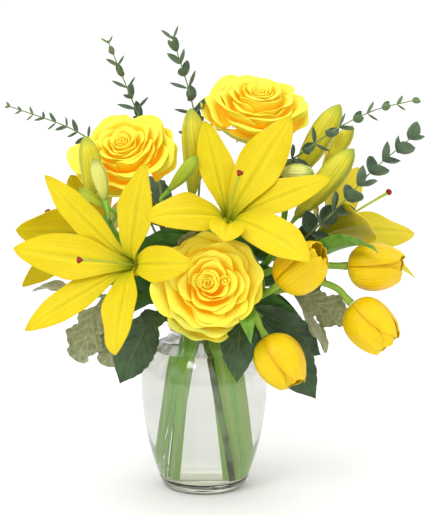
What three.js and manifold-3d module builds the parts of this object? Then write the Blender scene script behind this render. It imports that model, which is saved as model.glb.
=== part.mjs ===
// A mixed bouquet of yellow lilies, roses and tulips with eucalyptus, silver-leaf foliage and dark
// broad leaves, standing in water in a clear glass vase. Millimetres, +Z up. The origin is the
// centre of the vase's foot, and -Y is the side that the front rose faces.
import * as THREE from "three";
import { mergeVertices } from "three/addons/utils/BufferGeometryUtils.js";
import Module from "manifold-3d";

const wasm = await Module();
wasm.setup();

// ---------------------------------------------------------------- driving dimensions

const GAP = 0.3; // between pieces that touch
const MERGE = 0.05; // flatness within which faces are merged
const WALL = 3; // glass
const FLOOR = 9; // thickness of the glass at the foot
const CORNER = { rise: 3, inset: 6 }; // bevel where the glass wall meets the floor inside
const WATER_LEVEL = 142;
const WATER_GAP = 0.4; // between the water and the glass wall, with room for the flat facets
const HOLE_GAP = 0.45; // between a stem and the flat sides of its hole in the water
const VASE_SEGMENTS = 20;

// Rings of stems: their distance from the axis at the foot and in the neck.
const RINGS = { outer: { foot: 38, neck: 24 }, middle: { foot: 24, neck: 14.5 } };
// The feet of the stems part to the left and right: the share of its angle that each one keeps.
const SPREAD = 0.55;
const FOOT_HEIGHT = 13; // where the cut ends of the stems stand
const NECK_HEIGHT = 150;

// Outer outline of the vase from the foot to the lip: [radius, height].
const VASE_OUTLINE = [
  [36, 0],
  [45, 10],
  [55.5, 44],
  [63.2, 92],
  [62.2, 125],
  [52, 145],
  [38, 154],
  [34.5, 161],
  [44, 175],
];

const PETAL = 1; // thickness of a petal
const LEAF = 0.9; // thickness of a leaf
const ROSE = { petals: 9, innerRadius: 13, outerRadius: 51, innerHeight: 39, outerHeight: 22 };
const TULIP = { radius: 24, height: 56 };
const TEPAL = { length: 130, inner: 23, outer: 18 }; // half widths
const [INNER_ROOT, OUTER_ROOT] = [3.5, 7]; // distance of the tepals' roots from the axis of a lily
const THROAT = 8; // height of the solid foot of a lily, from which the tepals and the style stand
const STYLE = { length: 94, radius: 1.6, stigma: 3.4 };
const STEM_STEPS = 8;
const SPRAY_STEPS = 11;
const LEAFY_STEPS = 8;
const RADII = { lily: 4.2, rose: 3, tulip: 3.4, eucalyptus: 1.4, silver: 1.8, green: 1.8 };

const COLOURS = {
  glass: 0xdfe8e4,
  water: 0xd4dcd6,
  rose: 0xffd52b,
  lily: 0xf7dc14,
  tulip: 0xf9cc0a,
  bud: 0xdfd62e,
  greenBud: 0xb9cf3c,
  stigma: 0x8c2316,
  stem: 0x5d8f2c,
  roseStem: 0x4a5a2c,
  tulipStem: 0x7fa83a,
  eucalyptus: 0x55705a,
  silver: 0x98a387,
  green: 0x1f4a24,
};

// ---------------------------------------------------------------- small helpers

const V = (x, y, z) => new THREE.Vector3(x, y, z);
const rad = THREE.MathUtils.degToRad;
const { lerp, smoothstep } = THREE.MathUtils;

// A point on a ring round the vase's axis.
const onRing = (angle, radius, z) => V(radius * Math.cos(rad(angle)), radius * Math.sin(rad(angle)), z);

// A repeatable random draw between -1 and 1.
function randomiser(seed) {
  let state = seed * 2654435761;
  return () => {
    state = (Math.imul(state ^ (state >>> 15), 2246822519) + 3266489917) >>> 0;
    return (state / 4294967296) * 2 - 1;
  };
}

function solidOf(geometry) {
  const bare = geometry.clone();
  bare.deleteAttribute("normal");
  bare.deleteAttribute("uv");
  const merged = mergeVertices(bare, 1e-4);
  const vertProperties = merged.attributes.position.array;
  return new wasm.Manifold(new wasm.Mesh({ numProp: 3, vertProperties, triVerts: merged.index.array }));
}

function geometryOf(solid) {
  const mesh = solid.getMesh();
  return new THREE.BufferGeometry()
    .setAttribute("position", new THREE.BufferAttribute(new Float32Array(mesh.vertProperties), 3))
    .setIndex(new THREE.BufferAttribute(new Uint32Array(mesh.triVerts), 1));
}

// Joins closed pieces into one body, with the faces that the joints cut up merged again.
function fuse(geometries) {
  return geometryOf(geometries.map(solidOf).reduce((whole, piece) => whole.add(piece)).simplify(MERGE));
}

// A matrix that stands local +Z along `axis` at `origin`, with local +Y towards `up`.
function standing(origin, axis, up = V(0, 0.25, 1)) {
  const z = axis.clone().normalize();
  const x = up.clone().cross(z).normalize();
  const y = z.clone().cross(x);
  return new THREE.Matrix4().makeBasis(x, y, z).setPosition(origin);
}

function piece(name, geometry, colour, matrix) {
  const material = new THREE.MeshStandardMaterial({ color: colour, roughness: 0.6 });
  const mesh = new THREE.Mesh(geometry, material);
  mesh.name = name;
  if (matrix) matrix.decompose(mesh.position, mesh.quaternion, mesh.scale);
  return mesh;
}

// A closed body turned about +Z from its outline of [radius, height].
function lathe(outline, segments) {
  const points = outline.map(([r, z]) => new THREE.Vector2(r, z));
  return new THREE.LatheGeometry(points, segments).rotateX(Math.PI / 2);
}

// ---------------------------------------------------------------- thin blades

// A thin closed blade whose middle layer is surface(t, s): t runs from root to tip, s from edge (-1)
// to edge (1). Both faces are split alike, so that they never cross.
function blade(surface, { rows, columns, thickness }) {
  const positions = [];
  const step = 1e-3;
  const normalAt = (t, s) => {
    const along = surface(Math.min(1, t + step), s).sub(surface(Math.max(0, t - step), s));
    const across = surface(t, Math.min(1, s + step)).sub(surface(t, Math.max(-1, s - step)));
    return across.cross(along).normalize();
  };
  for (const side of [0.5, -0.5]) {
    for (let i = 0; i <= rows; i++) {
      for (let j = 0; j <= columns; j++) {
        const t = i / rows;
        const s = (2 * j) / columns - 1;
        const p = surface(t, s).addScaledVector(normalAt(t, s), side * thickness);
        positions.push(p.x, p.y, p.z);
      }
    }
  }
  const at = (i, j) => i * (columns + 1) + j;
  const under = (rows + 1) * (columns + 1);
  const faces = [];
  for (let i = 0; i < rows; i++) {
    for (let j = 0; j < columns; j++) {
      const [a, b, c, d] = [at(i, j), at(i, j + 1), at(i + 1, j + 1), at(i + 1, j)];
      faces.push(a, b, c, a, c, d);
      faces.push(under + a, under + c, under + b, under + a, under + d, under + c);
    }
  }
  const rim = [];
  for (let j = 0; j < columns; j++) rim.push(at(0, j));
  for (let i = 0; i < rows; i++) rim.push(at(i, columns));
  for (let j = columns; j > 0; j--) rim.push(at(rows, j));
  for (let i = rows; i > 0; i--) rim.push(at(i, 0));
  rim.forEach((p, k) => {
    const q = rim[(k + 1) % rim.length];
    faces.push(q, p, under + p, q, under + p, under + q);
  });
  return new THREE.BufferGeometry()
    .setAttribute("position", new THREE.Float32BufferAttribute(positions, 3))
    .setIndex(faces);
}

// A rib that leaves the origin along +Z and leans over towards +X by lean(t).
function ribOf(length, lean) {
  const STEPS = 40;
  const points = [{ x: 0, z: 0 }];
  for (let i = 1; i <= STEPS; i++) {
    const angle = lean((i - 0.5) / STEPS);
    const last = points[i - 1];
    const [x, z] = [Math.sin(angle), Math.cos(angle)].map((part) => (part * length) / STEPS);
    points.push({ x: last.x + x, z: last.z + z });
  }
  return (t) => {
    const at = Math.min(t, 0.99999) * STEPS;
    const [a, b] = [points[Math.floor(at)], points[Math.floor(at) + 1]];
    const share = at - Math.floor(at);
    return { x: lerp(a.x, b.x, share), z: lerp(a.z, b.z, share), angle: lean(t) };
  };
}

// A blade along a leaning rib that starts at `start` from the axis: cup lifts its edges.
function ribbed({ length, lean, halfWidth, cup = () => 0, start = 0, rows, columns = 2, thickness }) {
  const rib = ribOf(length, lean);
  const surface = (t, s) => {
    const { x, z, angle } = rib(t);
    const width = halfWidth(t);
    const lift = cup(t) * width * s * s;
    return V(start + x - lift * Math.cos(angle), s * width, z + lift * Math.sin(angle));
  };
  return blade(surface, { rows, columns, thickness });
}

// A petal that wraps round the axis of its bloom by +-span(t) degrees, with its edges dipping below
// its middle. Its profile is a cubic curve of [radius, height].
function wrapped({ profile, span, dip, rows, columns, thickness }) {
  const [a, b, c, d] = profile.map(([r, z]) => new THREE.Vector2(r, z));
  const curve = new THREE.CubicBezierCurve(a, b, c, d);
  const surface = (t, s) => {
    const p = curve.getPoint(t * (1 - dip * s * s * t));
    const turn = s * rad(span(t));
    return V(p.x * Math.cos(turn), p.x * Math.sin(turn), p.y);
  };
  return blade(surface, { rows, columns, thickness });
}

// ---------------------------------------------------------------- blooms

// A rose: petals wound round a core by the golden angle, upright inside and reflexed outside.
function roseBloom(seed) {
  const random = randomiser(seed);
  const golden = rad(137.5);
  const core = lathe([[0, 0], [5, 0], [22, 5.5], [22, 8], [9.5, 8], [9.5, 28], [5, 37], [0, 38]], 6);
  const petals = Array.from({ length: ROSE.petals }, (_, k) => {
    const out = k / (ROSE.petals - 1);
    const radius = lerp(ROSE.innerRadius, ROSE.outerRadius, out ** 0.9);
    const height = lerp(ROSE.innerHeight, ROSE.outerHeight, out ** 1.4) + random();
    const root = lerp(9, 18.5, out);
    const profile = [
      [root, lerp(3, 6, out)],
      [lerp(radius + 1, radius * 0.72, out), lerp(6, 4, out)],
      [lerp(radius, radius * 0.8, out), height * lerp(0.8, 1.08, out)],
      [radius + lerp(0.5, 3, out), height],
    ];
    const widest = lerp(72, 37, out ** 0.8) + 3 * random();
    return wrapped({
      profile,
      span: (t) => widest * (0.62 + 0.38 * smoothstep(t, 0, 0.6)),
      dip: 0.16,
      rows: 3,
      columns: 3,
      thickness: PETAL,
    }).rotateZ(golden * k + 0.15 * random());
  });
  return fuse([core, ...petals]);
}

// A tulip: three inner petals inside three outer ones. open is the share by which its mouth gapes.
function tulipBloom(open) {
  const { radius, height } = TULIP;
  const ring = (inset, turn, columns) =>
    Array.from({ length: 3 }, (_, k) =>
      wrapped({
        profile: [
          [8 - inset, 1.5],
          [radius * 1.12 - inset, 5],
          [radius * 1.16 - inset, height * 0.7],
          [lerp(radius * 0.45, radius * 1.05, open) - inset * 0.6, height - inset],
        ],
        span: (t) => 57 - 12 * t ** 3,
        dip: 0.2,
        rows: 3,
        columns,
        thickness: PETAL,
      }).rotateZ(turn + (k * 2 * Math.PI) / 3),
    );
  const seat = lathe([[0, 0], [6, 0], [14, 4], [0, 4]], 6);
  return fuse([seat, ...ring(0, 0, 3), ...ring(3.5, Math.PI / 3, 2)]);
}

// One lily tepal: [azimuth, opening, share of the full length, curl at the tip], angles in degrees.
// start is its distance from the axis of the bloom at its root.
function tepal([azimuth, opening, share, curl], wide, start) {
  return ribbed({
    length: TEPAL.length * share,
    lean: (t) => lerp(rad(8), rad(opening), smoothstep(t, 0, 0.3)) + rad(curl) * t * t,
    halfWidth: (t) => {
      const body = 0.16 + 0.84 * smoothstep(t, 0, 0.55);
      const taper = 1 - Math.max(0, (t - 0.5) / 0.5) ** 2.2;
      return wide * body * (0.1 + 0.9 * taper);
    },
    cup: (t) => lerp(0.35, -0.1, smoothstep(t, 0.1, 0.8)),
    start,
    rows: 5,
    thickness: PETAL,
  })
    .translate(0, 0, 4)
    .rotateZ(rad(azimuth));
}

// A lily: tepals listed in turn, a wide inner one and then a narrower one from the outer ring.
function lilyBloom(tepals) {
  const throat = lathe([[0, 0], [4.5, 0], [10.5, THROAT], [0, THROAT]], 6);
  const petals = tepals.map((shape, k) =>
    k % 2 ? tepal(shape, TEPAL.outer, OUTER_ROOT) : tepal(shape, TEPAL.inner, INNER_ROOT),
  );
  return fuse([throat, ...petals]);
}

// The style and stigma of a lily, standing on the throat and bent over to one side.
function pistil() {
  const [foot, bend] = [V(0, 0, THROAT + GAP), V(0, 0, STYLE.length * 0.6)];
  const shaft = new THREE.QuadraticBezierCurve3(foot, bend, V(3, -5, STYLE.length));
  const style = tube(shaft, STYLE.radius, { sides: 4, steps: 4 });
  const stigma = new THREE.SphereGeometry(STYLE.stigma, 5, 3).translate(3, -5, STYLE.length + 1);
  return fuse([style, stigma]);
}

// A closed lily bud, slender at the foot and blunt at the tip.
function lilyBud(length, radius) {
  const outline = [[0, 0], [0.3, 0], [0.8, 0.32], [1, 0.66], [0.7, 0.9], [0.25, 1], [0, 1]];
  return lathe(outline.map(([r, z]) => [r * radius, z * length]), 6);
}

// ---------------------------------------------------------------- stems and leaves

// A closed tube of even thickness along a curve.
function tube(curve, radius, { sides, steps }) {
  const section = new THREE.Shape(
    Array.from({ length: sides }, (_, k) => {
      const angle = (2 * Math.PI * k) / sides;
      return new THREE.Vector2(radius * Math.cos(angle), radius * Math.sin(angle));
    }),
  );
  return new THREE.ExtrudeGeometry(section, { steps, extrudePath: curve, bevelEnabled: false });
}

// The point and the direction at a share of the length of a tube in so many steps along a curve.
function onTube(curve, steps, share) {
  const points = curve.getSpacedPoints(steps);
  const at = Math.min(share * steps, steps - 1e-6);
  const [a, b] = [points[Math.floor(at)], points[Math.floor(at) + 1]];
  return { point: a.clone().lerp(b, at - Math.floor(at)), along: b.clone().sub(a).normalize() };
}

// The cut end of a stem and its place in the neck. turn is its angle in the neck, in degrees.
function stemEnds({ ring, turn }) {
  const side = Math.round(turn / 180) * 180;
  const foot = onRing(side + (turn - side) * SPREAD, RINGS[ring].foot, FOOT_HEIGHT);
  return [foot, onRing(turn, RINGS[ring].neck, NECK_HEIGHT)];
}

// The line of a stem: straight from its cut end in the water through the neck, then on its own way.
function stemCurve({ way, ...place }) {
  const [foot, neck] = stemEnds(place);
  const through = [0, 0.5, 1, 1.1].map((share) => foot.clone().lerp(neck, share));
  return new THREE.CatmullRomCurve3([...through, ...way.map((p) => V(...p))]);
}

// A leaf on a stem: its root sunk into it, leaving along `axis` and arching over towards `side`.
function leafOn(origin, axis, side, shape) {
  const z = V(...axis).normalize();
  const y = z.clone().cross(V(...side)).normalize();
  const x = y.clone().cross(z);
  const matrix = new THREE.Matrix4().makeBasis(x, y, z).setPosition(origin);
  return shape.clone().applyMatrix4(matrix);
}

// Narrow, channelled blade, as on a lily or a tulip.
const strapLeaf = (length, width, arch, rows = 4) =>
  ribbed({
    length,
    lean: (t) => rad(arch) * t ** 1.3,
    halfWidth: (t) => {
      const body = 0.25 + 0.75 * Math.sin(Math.PI * t ** 0.7) ** 0.8;
      return (width / 2) * body * (1 - 0.7 * t ** 6);
    },
    cup: () => 0.35,
    rows,
    thickness: LEAF,
  });

// Broad leaf with a toothed edge: every other row stands out as a tooth.
const broadLeaf = (length, width, arch, rows = 5) =>
  ribbed({
    length,
    lean: (t) => rad(arch) * t,
    halfWidth: (t) => {
      const body = 0.1 + 0.9 * Math.sin(Math.PI * t ** 0.85) ** 0.8;
      const teeth = 1 + 0.07 * Math.cos(Math.PI * rows * t);
      return (width / 2) * body * teeth * (1 - 0.8 * t ** 8);
    },
    cup: () => 0.18,
    rows,
    thickness: LEAF,
  });

// Silvery leaf cut into rounded lobes.
const lobedLeaf = (length, width, arch) =>
  ribbed({
    length,
    lean: (t) => rad(arch) * t,
    halfWidth: (t) => {
      const body = 0.12 + 0.88 * smoothstep(t, 0.05, 0.5);
      const lobes = 1 + 0.22 * Math.cos(Math.PI * 6 * t);
      return (width / 2) * body * lobes * (1 - 0.75 * t ** 5);
    },
    cup: (t) => 0.1 + 0.1 * Math.sin(9 * t),
    rows: 6,
    thickness: LEAF,
  });

// A flat eucalyptus leaf that points along +X.
function coinLeaf(length, width) {
  const outline = [[0.5, 0], [length * 0.5, -width / 2], [length, 0], [length * 0.5, width / 2]];
  const shape = new THREE.Shape(outline.map(([x, y]) => new THREE.Vector2(x, y)));
  return new THREE.ExtrudeGeometry(shape, { depth: 0.8, bevelEnabled: false }).translate(0, 0, -0.4);
}

// A spray of eucalyptus: leaves in pairs, each pair square to the last, smaller towards the tip.
function eucalyptusSpray({ line, pairs, from, leaf: [length, width], tilt }, seed) {
  const random = randomiser(seed);
  const curve = stemCurve(line);
  const parts = [tube(curve, RADII.eucalyptus, { sides: 4, steps: SPRAY_STEPS })];
  for (let k = 0; k < pairs; k++) {
    const share = k / (pairs - 1);
    const at = lerp(from, 0.992, share);
    const { point, along } = onTube(curve, SPRAY_STEPS, at);
    const size = lerp(1, 0.45, share ** 2);
    for (const half of [0, Math.PI]) {
      const turn = half + (k % 2) * (Math.PI / 2) + 0.35 * random() + rad(25);
      const leaf = coinLeaf(length * size, width * size)
        .rotateX(0.3 * random())
        .rotateY(-rad(tilt + 12 * random()))
        .rotateZ(turn);
      leaf.applyMatrix4(standing(point, along));
      parts.push(leaf);
    }
  }
  return fuse(parts);
}

// ---------------------------------------------------------------- where everything stands
// ring and turn give a stem's place in the neck of the vase; way is its line above the neck.

const ROSES = [
  {
    name: "rose_upper", seat: [52, 52, 364], axis: [0.1, -0.42, 0.91], seed: 3, ring: "middle", turn: 77,
    way: [[14, 34, 235], [36, 52, 315]],
  },
  {
    name: "rose_left", seat: [-74, 22, 324], axis: [-0.18, -0.65, 0.74], seed: 7, ring: "middle",
    turn: 157, way: [[-28, 18, 220], [-52, 30, 285]],
  },
  {
    name: "rose_front", seat: [6.5, -70, 216], axis: [0.04, -0.92, 0.38], seed: 12, ring: "outer",
    turn: -84, way: [[3, -34, 190], [5, -50, 206]],
  },
];

// The leaves of a stem are [share along it, way they leave in, side they arch to, length, width, arch].
const TULIPS = [
  {
    name: "tulip_inner", seat: [74, -58, 220], axis: [0.7, -0.3, 0.62], open: 0.1, ring: "outer",
    turn: -24, way: [[34, -24, 191], [56, -44, 205]],
    leaves: [[0.86, [0, -0.3, 1], [0.5, 1, 0], 52, 24, -16]],
  },
  {
    name: "tulip_right", seat: [142, -24, 231], axis: [1, -0.15, 0.02], open: 0.15, ring: "middle",
    turn: -13, way: [[32, -8, 200], [66, -14, 224], [104, -20, 231]],
    leaves: [[0.86, [0.75, -0.5, 0.7], [0.1, -0.8, -0.75], 112, 28, 62]],
  },
  {
    name: "tulip_low_right", seat: [145, -43, 197], axis: [0.68, -0.2, -0.7], open: 0.35, ring: "outer",
    turn: -1,
    way: [[38, -12, 189], [76, -26, 207], [112, -36, 217], [132, -41, 211]],
    leaves: [],
  },
  {
    name: "tulip_front", seat: [60, -72, 170], axis: [0.5, -0.3, -0.8], open: 0.1, ring: "outer",
    turn: -62, way: [[17, -34, 189], [34, -53, 200], [50, -66, 190]],
    leaves: [[0.84, [0.05, -0.9, 0.1], [0.1, 0, -1], 74, 19, 62]],
  },
];

const LILY_STEMS = [
  {
    name: "lily_left",
    ring: "middle",
    turn: 207,
    way: [[-34, 0, 195], [-66, 6, 232], [-88, -4, 258], [-96, -24, 280]],
    blooms: [
      {
        name: "lily_left_front",
        seat: [-60, -30, 231],
        axis: [-0.63, -0.734, 0.264],
        joins: [-52, 4, 216],
        tepals: [
          [55, 60, 1, 10],
          [129, 57, 1, 14],
          [173, 56, 1, 12],
          [218, 60, 1, 14],
          [291, 56, 0.96, 16],
          [-4, 64, 0.92, 25],
        ],
      },
      {
        name: "lily_left_rear",
        seat: [-88, 34, 247],
        axis: [-0.75, 0.6, 0.25],
        joins: [-64, 5, 230],
        tepals: [
          [347, 55, 0.8, 14],
          [45, 50, 0.62, 40],
          [105, 55, 0.85, 14],
          [165, 55, 0.85, 20],
          [240, 56, 0.8, 30],
          [308, 58, 0.82, 30],
        ],
      },
    ],
    buds: [
      {
        name: "lily_bud_left_large", seat: [-111, -30, 299], tip: [-115, -32, 361], radius: 11,
        joins: [-95, -20, 276], colour: COLOURS.bud,
      },
      {
        name: "lily_bud_left_pale", seat: [-96, -50, 302], tip: [-106, -56, 342], radius: 8,
        joins: [-95, -20, 276], colour: COLOURS.bud,
      },
      {
        name: "lily_bud_left_small", seat: [-97, -41, 294], tip: [-121, -55, 313], radius: 5,
        joins: [-92, -13, 269], colour: COLOURS.greenBud,
      },
    ],
  },
  {
    name: "lily_centre",
    ring: "middle",
    turn: -63,
    way: [[8, -16, 196], [12, 2, 238], [0, 4, 274], [-11, -2, 288]],
    blooms: [
      {
        name: "lily_centre_bloom",
        seat: [23, -25, 269],
        axis: [0.084, -0.691, 0.717],
        joins: [9, 3, 252],
        tepals: [
          [53, 57, 0.97, 8],
          [106, 57, 0.8, 6],
          [206, 50, 0.92, 30],
          [259, 38, 0.85, 25],
          [309, 56, 0.98, 36],
          [7, 58, 0.88, 12],
        ],
      },
    ],
    buds: [
      {
        name: "lily_bud_centre_large", seat: [-12, 2, 299], tip: [-13, 6, 384], radius: 14,
        joins: [-10, -1, 286], colour: COLOURS.bud,
      },
      {
        name: "lily_bud_centre_small", seat: [-34, -20, 306], tip: [-6, -34, 341], radius: 7,
        joins: [-8, 0, 283], colour: COLOURS.greenBud,
      },
    ],
  },
  {
    name: "lily_right",
    ring: "middle",
    turn: 32,
    way: [[38, 18, 200], [72, 14, 240], [80, 12, 272], [82, 10, 290]],
    blooms: [
      {
        name: "lily_right_bloom",
        seat: [106, 10, 247],
        axis: [0.78, -0.09, 0.61],
        joins: [72, 14, 239],
        tepals: [
          [62, 52, 0.95, 20],
          [108, 48, 0.4, 20],
          [206, 46, 0.95, 40],
          [305, 52, 0.9, 40],
          [338, 52, 1, 18],
          [30, 52, 0.95, 22],
        ],
      },
    ],
    buds: [
      {
        name: "lily_bud_right_upper", seat: [92, 36, 310], tip: [137, 40, 384], radius: 13,
        joins: [82, 10, 286], colour: COLOURS.bud,
      },
      {
        name: "lily_bud_right_short", seat: [76, -8, 322], tip: [106, -36, 324], radius: 10,
        joins: [82, 10, 289], colour: COLOURS.greenBud,
      },
      {
        name: "lily_bud_right_large", seat: [92, -18, 280], tip: [147, -21, 347], radius: 13,
        joins: [80, 12, 270], colour: COLOURS.bud,
      },
      {
        name: "lily_bud_right_rear", seat: [122, 12, 326], tip: [148, 12, 366], radius: 8,
        joins: [82, 10, 288], colour: COLOURS.bud,
      },
    ],
  },
];

const SPRAYS = [
  {
    name: "eucalyptus_left", pairs: 7, from: 0.7, leaf: [14, 9], tilt: 22,
    line: {
      ring: "outer", turn: 163,
      way: [[-48, 38, 250], [-94, 62, 325], [-128, 50, 355], [-198, 34, 384]],
    },
  },
  {
    name: "eucalyptus_back_left", pairs: 7, from: 0.73, leaf: [15, 10], tilt: 30,
    line: {
      ring: "outer", turn: 144,
      way: [[-38, 44, 260], [-56, 82, 340], [-72, 68, 382], [-97, 50, 448]],
    },
  },
  {
    name: "eucalyptus_back", pairs: 6, from: 0.77, leaf: [16, 11], tilt: 30,
    line: {
      ring: "outer", turn: 108,
      way: [[-8, 44, 250], [-4, 56, 330], [-12, 46, 385], [-32, 40, 453]],
    },
  },
  {
    name: "eucalyptus_right", pairs: 8, from: 0.66, leaf: [15, 10], tilt: 25,
    line: {
      ring: "outer", turn: 52,
      way: [
        [38, 36, 215],
        [56, 46, 276],
        [74, 28, 318],
        [98, 6, 340],
        [132, -8, 366],
        [168, -10, 384],
        [208, -10, 394],
      ],
    },
  },
  {
    name: "eucalyptus_right_low", pairs: 8, from: 0.565, leaf: [16, 15], tilt: 30,
    line: {
      ring: "outer", turn: 35,
      way: [
        [52, 9, 203],
        [82, -4, 238],
        [107, -29, 267],
        [130, -44, 292],
        [162, -34, 325],
        [204, -16, 358],
      ],
    },
  },
];

// Leafy stems, with leaves listed as on the tulips.
const FOLIAGE = [
  {
    name: "silver_leaves_left", radius: RADII.silver, colour: COLOURS.silver, leaf: lobedLeaf,
    line: { ring: "outer", turn: 198, way: [[-46, -10, 190], [-80, -14, 198], [-106, -20, 200]] },
    leaves: [
      [0.98, [-1, 0.25, 0.45], [0, 0, -1], 74, 34, 45],
      [0.97, [-0.5, -0.1, -1], [-0.3, 0.4, -1], 74, 36, 18],
      [0.91, [-0.2, -0.25, -1], [0, 0.5, -1], 72, 34, 15],
    ],
  },
  {
    name: "silver_leaf_centre", radius: RADII.silver, colour: COLOURS.silver, leaf: lobedLeaf,
    line: { ring: "outer", turn: 253, way: [[-20, -36, 190], [-28, -36, 222], [-28, -38, 240]] },
    leaves: [[0.98, [0.5, -0.35, 1], [1, -0.5, 0], 52, 34, 40]],
  },
  {
    name: "silver_leaves_right", radius: RADII.silver, colour: COLOURS.silver, leaf: lobedLeaf,
    line: { ring: "outer", turn: 18, way: [[44, 6, 187], [72, 0, 200], [92, -6, 202]] },
    leaves: [
      [0.98, [0.9, -0.05, -0.5], [0.1, 0.9, 0.2], 68, 34, 20],
      [0.92, [0.95, -0.1, 0.25], [0.1, 0.9, 0.3], 52, 28, 30],
      [0.98, [0.75, -0.1, -1], [-0.6, 0.3, -1], 72, 30, 15],
    ],
  },
  {
    name: "broad_leaves_left", radius: RADII.green, colour: COLOURS.green, leaf: broadLeaf,
    line: { ring: "outer", turn: 223, way: [[-36, -32, 184], [-48, -44, 188], [-54, -50, 184]] },
    leaves: [
      [0.98, [-0.5, -0.2, -1], [0.1, 0.9, -0.2], 76, 40, 20],
      [0.9, [-0.2, -1, 0.3], [0, 0, -1], 56, 32, 50],
    ],
  },
  {
    name: "broad_leaves_front", radius: RADII.green, colour: COLOURS.green, leaf: broadLeaf,
    line: { ring: "outer", turn: -43, way: [[28, -33, 186], [46, -42, 190], [58, -42, 184]] },
    leaves: [
      [0.98, [0.62, 0, -1], [0.2, 0.9, 0], 106, 50, 12],
      [0.9, [-0.1, -0.95, -0.25], [0, 0.3, -1], 84, 36, 78],
      [0.94, [0.95, 0.25, -0.62], [0.1, 0.9, -0.4], 98, 40, 24],
    ],
  },
  {
    name: "broad_leaves_back_left", radius: RADII.green, colour: COLOURS.green, leaf: broadLeaf,
    line: { ring: "outer", turn: 126, way: [[-24, 46, 195], [-38, 72, 235], [-44, 84, 258]] },
    leaves: [
      [0.98, [-0.4, 0.5, 1], [-0.2, 1, 0], 80, 40, 50],
      [0.88, [-1, 0.6, 0.2], [0, 0.4, -1], 76, 38, 50],
      [0.78, [0.7, 0.9, 0.2], [0, 0.4, -1], 76, 38, 60],
    ],
  },
  {
    name: "broad_leaves_back_right", radius: RADII.green, colour: COLOURS.green, leaf: broadLeaf,
    line: { ring: "outer", turn: 72, way: [[26, 50, 200], [50, 82, 245], [58, 94, 270]] },
    leaves: [
      [0.98, [0.4, 0.4, 1], [0.2, 1, 0], 80, 40, 50],
      [0.88, [1, 0.5, 0.2], [0, 0.4, -1], 76, 38, 50],
      [0.78, [-0.3, 1, 0.1], [0, 0.4, -1], 76, 38, 60],
    ],
  },
];

// ---------------------------------------------------------------- vase and water

// The outline of the vase moved in by `inset`, with the corner at the floor cut off.
const insideOf = (inset) =>
  VASE_OUTLINE.slice(1).map(([r, z]) => [r - inset, Math.max(z, FLOOR + CORNER.rise)]);
const WELL_RADIUS = VASE_OUTLINE[1][0] - WALL - CORNER.inset;

function vaseGeometry() {
  const inner = insideOf(WALL).reverse();
  const [lipRadius, lipHeight] = VASE_OUTLINE.at(-1);
  const rim = [lipRadius - WALL / 2, lipHeight + WALL / 2];
  const well = [[WELL_RADIUS, FLOOR], [0, FLOOR]];
  return lathe([[0, 0], ...VASE_OUTLINE, rim, ...inner, ...well], VASE_SEGMENTS);
}

// The water fills the vase up to its level and leaves a plain hole round every stem.
function waterGeometry(holes) {
  const side = insideOf(WALL + WATER_GAP);
  const below = side.filter(([, z]) => z < WATER_LEVEL);
  const above = side.find(([, z]) => z >= WATER_LEVEL);
  const last = below.at(-1);
  const share = (WATER_LEVEL - last[1]) / (above[1] - last[1]);
  const rim = [lerp(last[0], above[0], share) - GAP, WATER_LEVEL];
  const foot = [WELL_RADIUS, FLOOR + GAP];
  const body = lathe([[0, FLOOR + GAP], foot, ...below, rim, [0, WATER_LEVEL]], VASE_SEGMENTS);
  return geometryOf(holes.map(solidOf).reduce((water, hole) => water.subtract(hole), solidOf(body)));
}

// ---------------------------------------------------------------- assembly

const bouquet = new THREE.Group();
const holes = []; // the room that the stems take up in the water

// Opens a square hole in the water for a stem, from just below its cut end to above the water.
function openHole(place, radius) {
  const [foot, neck] = stemEnds(place);
  const line = new THREE.LineCurve3(foot.clone().lerp(neck, -0.008), foot.clone().lerp(neck, 0.99));
  holes.push(tube(line, (radius + HOLE_GAP) * Math.SQRT2, { sides: 4, steps: 1 }));
}

// The tube of a stem, with its hole in the water opened.
function standIn(line, radius, { sides = 5, steps = STEM_STEPS } = {}) {
  const curve = stemCurve(line);
  openHole(line, radius);
  return { curve, shaft: tube(curve, radius, { sides, steps }) };
}

for (const rose of ROSES) {
  const seat = V(...rose.seat);
  const axis = V(...rose.axis).normalize();
  const below = seat.clone().addScaledVector(axis, -GAP);
  const neckOfHip = below.clone().addScaledVector(axis, -6);
  const { shaft } = standIn({ ...rose, way: [...rose.way, neckOfHip.toArray()] }, RADII.rose);
  const hip = lathe([[0, -12], [3, -11], [5.5, -5], [5.5, 0], [0, 0]], 6);
  const sepals = Array.from({ length: 5 }, (_, k) =>
    ribbed({
      length: 26,
      lean: (t) => rad(lerp(100, 140, t)),
      halfWidth: (t) => 3.6 * (1 - 0.85 * t * t),
      start: 3,
      rows: 2,
      columns: 1,
      thickness: LEAF,
    })
      .translate(0, 0, -2)
      .rotateZ((k * 2 * Math.PI) / 5),
  );
  const calyx = [hip, ...sepals].map((g) => g.applyMatrix4(standing(below, axis)));
  bouquet.add(piece(rose.name + "_stem", fuse([shaft, ...calyx]), COLOURS.roseStem));
  bouquet.add(piece(rose.name + "_bloom", roseBloom(rose.seed), COLOURS.rose, standing(seat, axis)));
}

for (const tulip of TULIPS) {
  const seat = V(...tulip.seat);
  const axis = V(...tulip.axis).normalize();
  const below = seat.clone().addScaledVector(axis, -GAP);
  const end = below.clone().addScaledVector(axis, -9);
  const way = [...tulip.way, end.toArray(), below.toArray()];
  const { curve, shaft } = standIn({ ...tulip, way }, RADII.tulip);
  const leaves = tulip.leaves.map(([share, leaving, side, ...shape]) =>
    leafOn(onTube(curve, STEM_STEPS, share).point, leaving, side, strapLeaf(...shape)),
  );
  bouquet.add(piece(tulip.name + "_stem", fuse([shaft, ...leaves]), COLOURS.tulipStem));
  bouquet.add(piece(tulip.name + "_bloom", tulipBloom(tulip.open), COLOURS.tulip, standing(seat, axis)));
}

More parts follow.
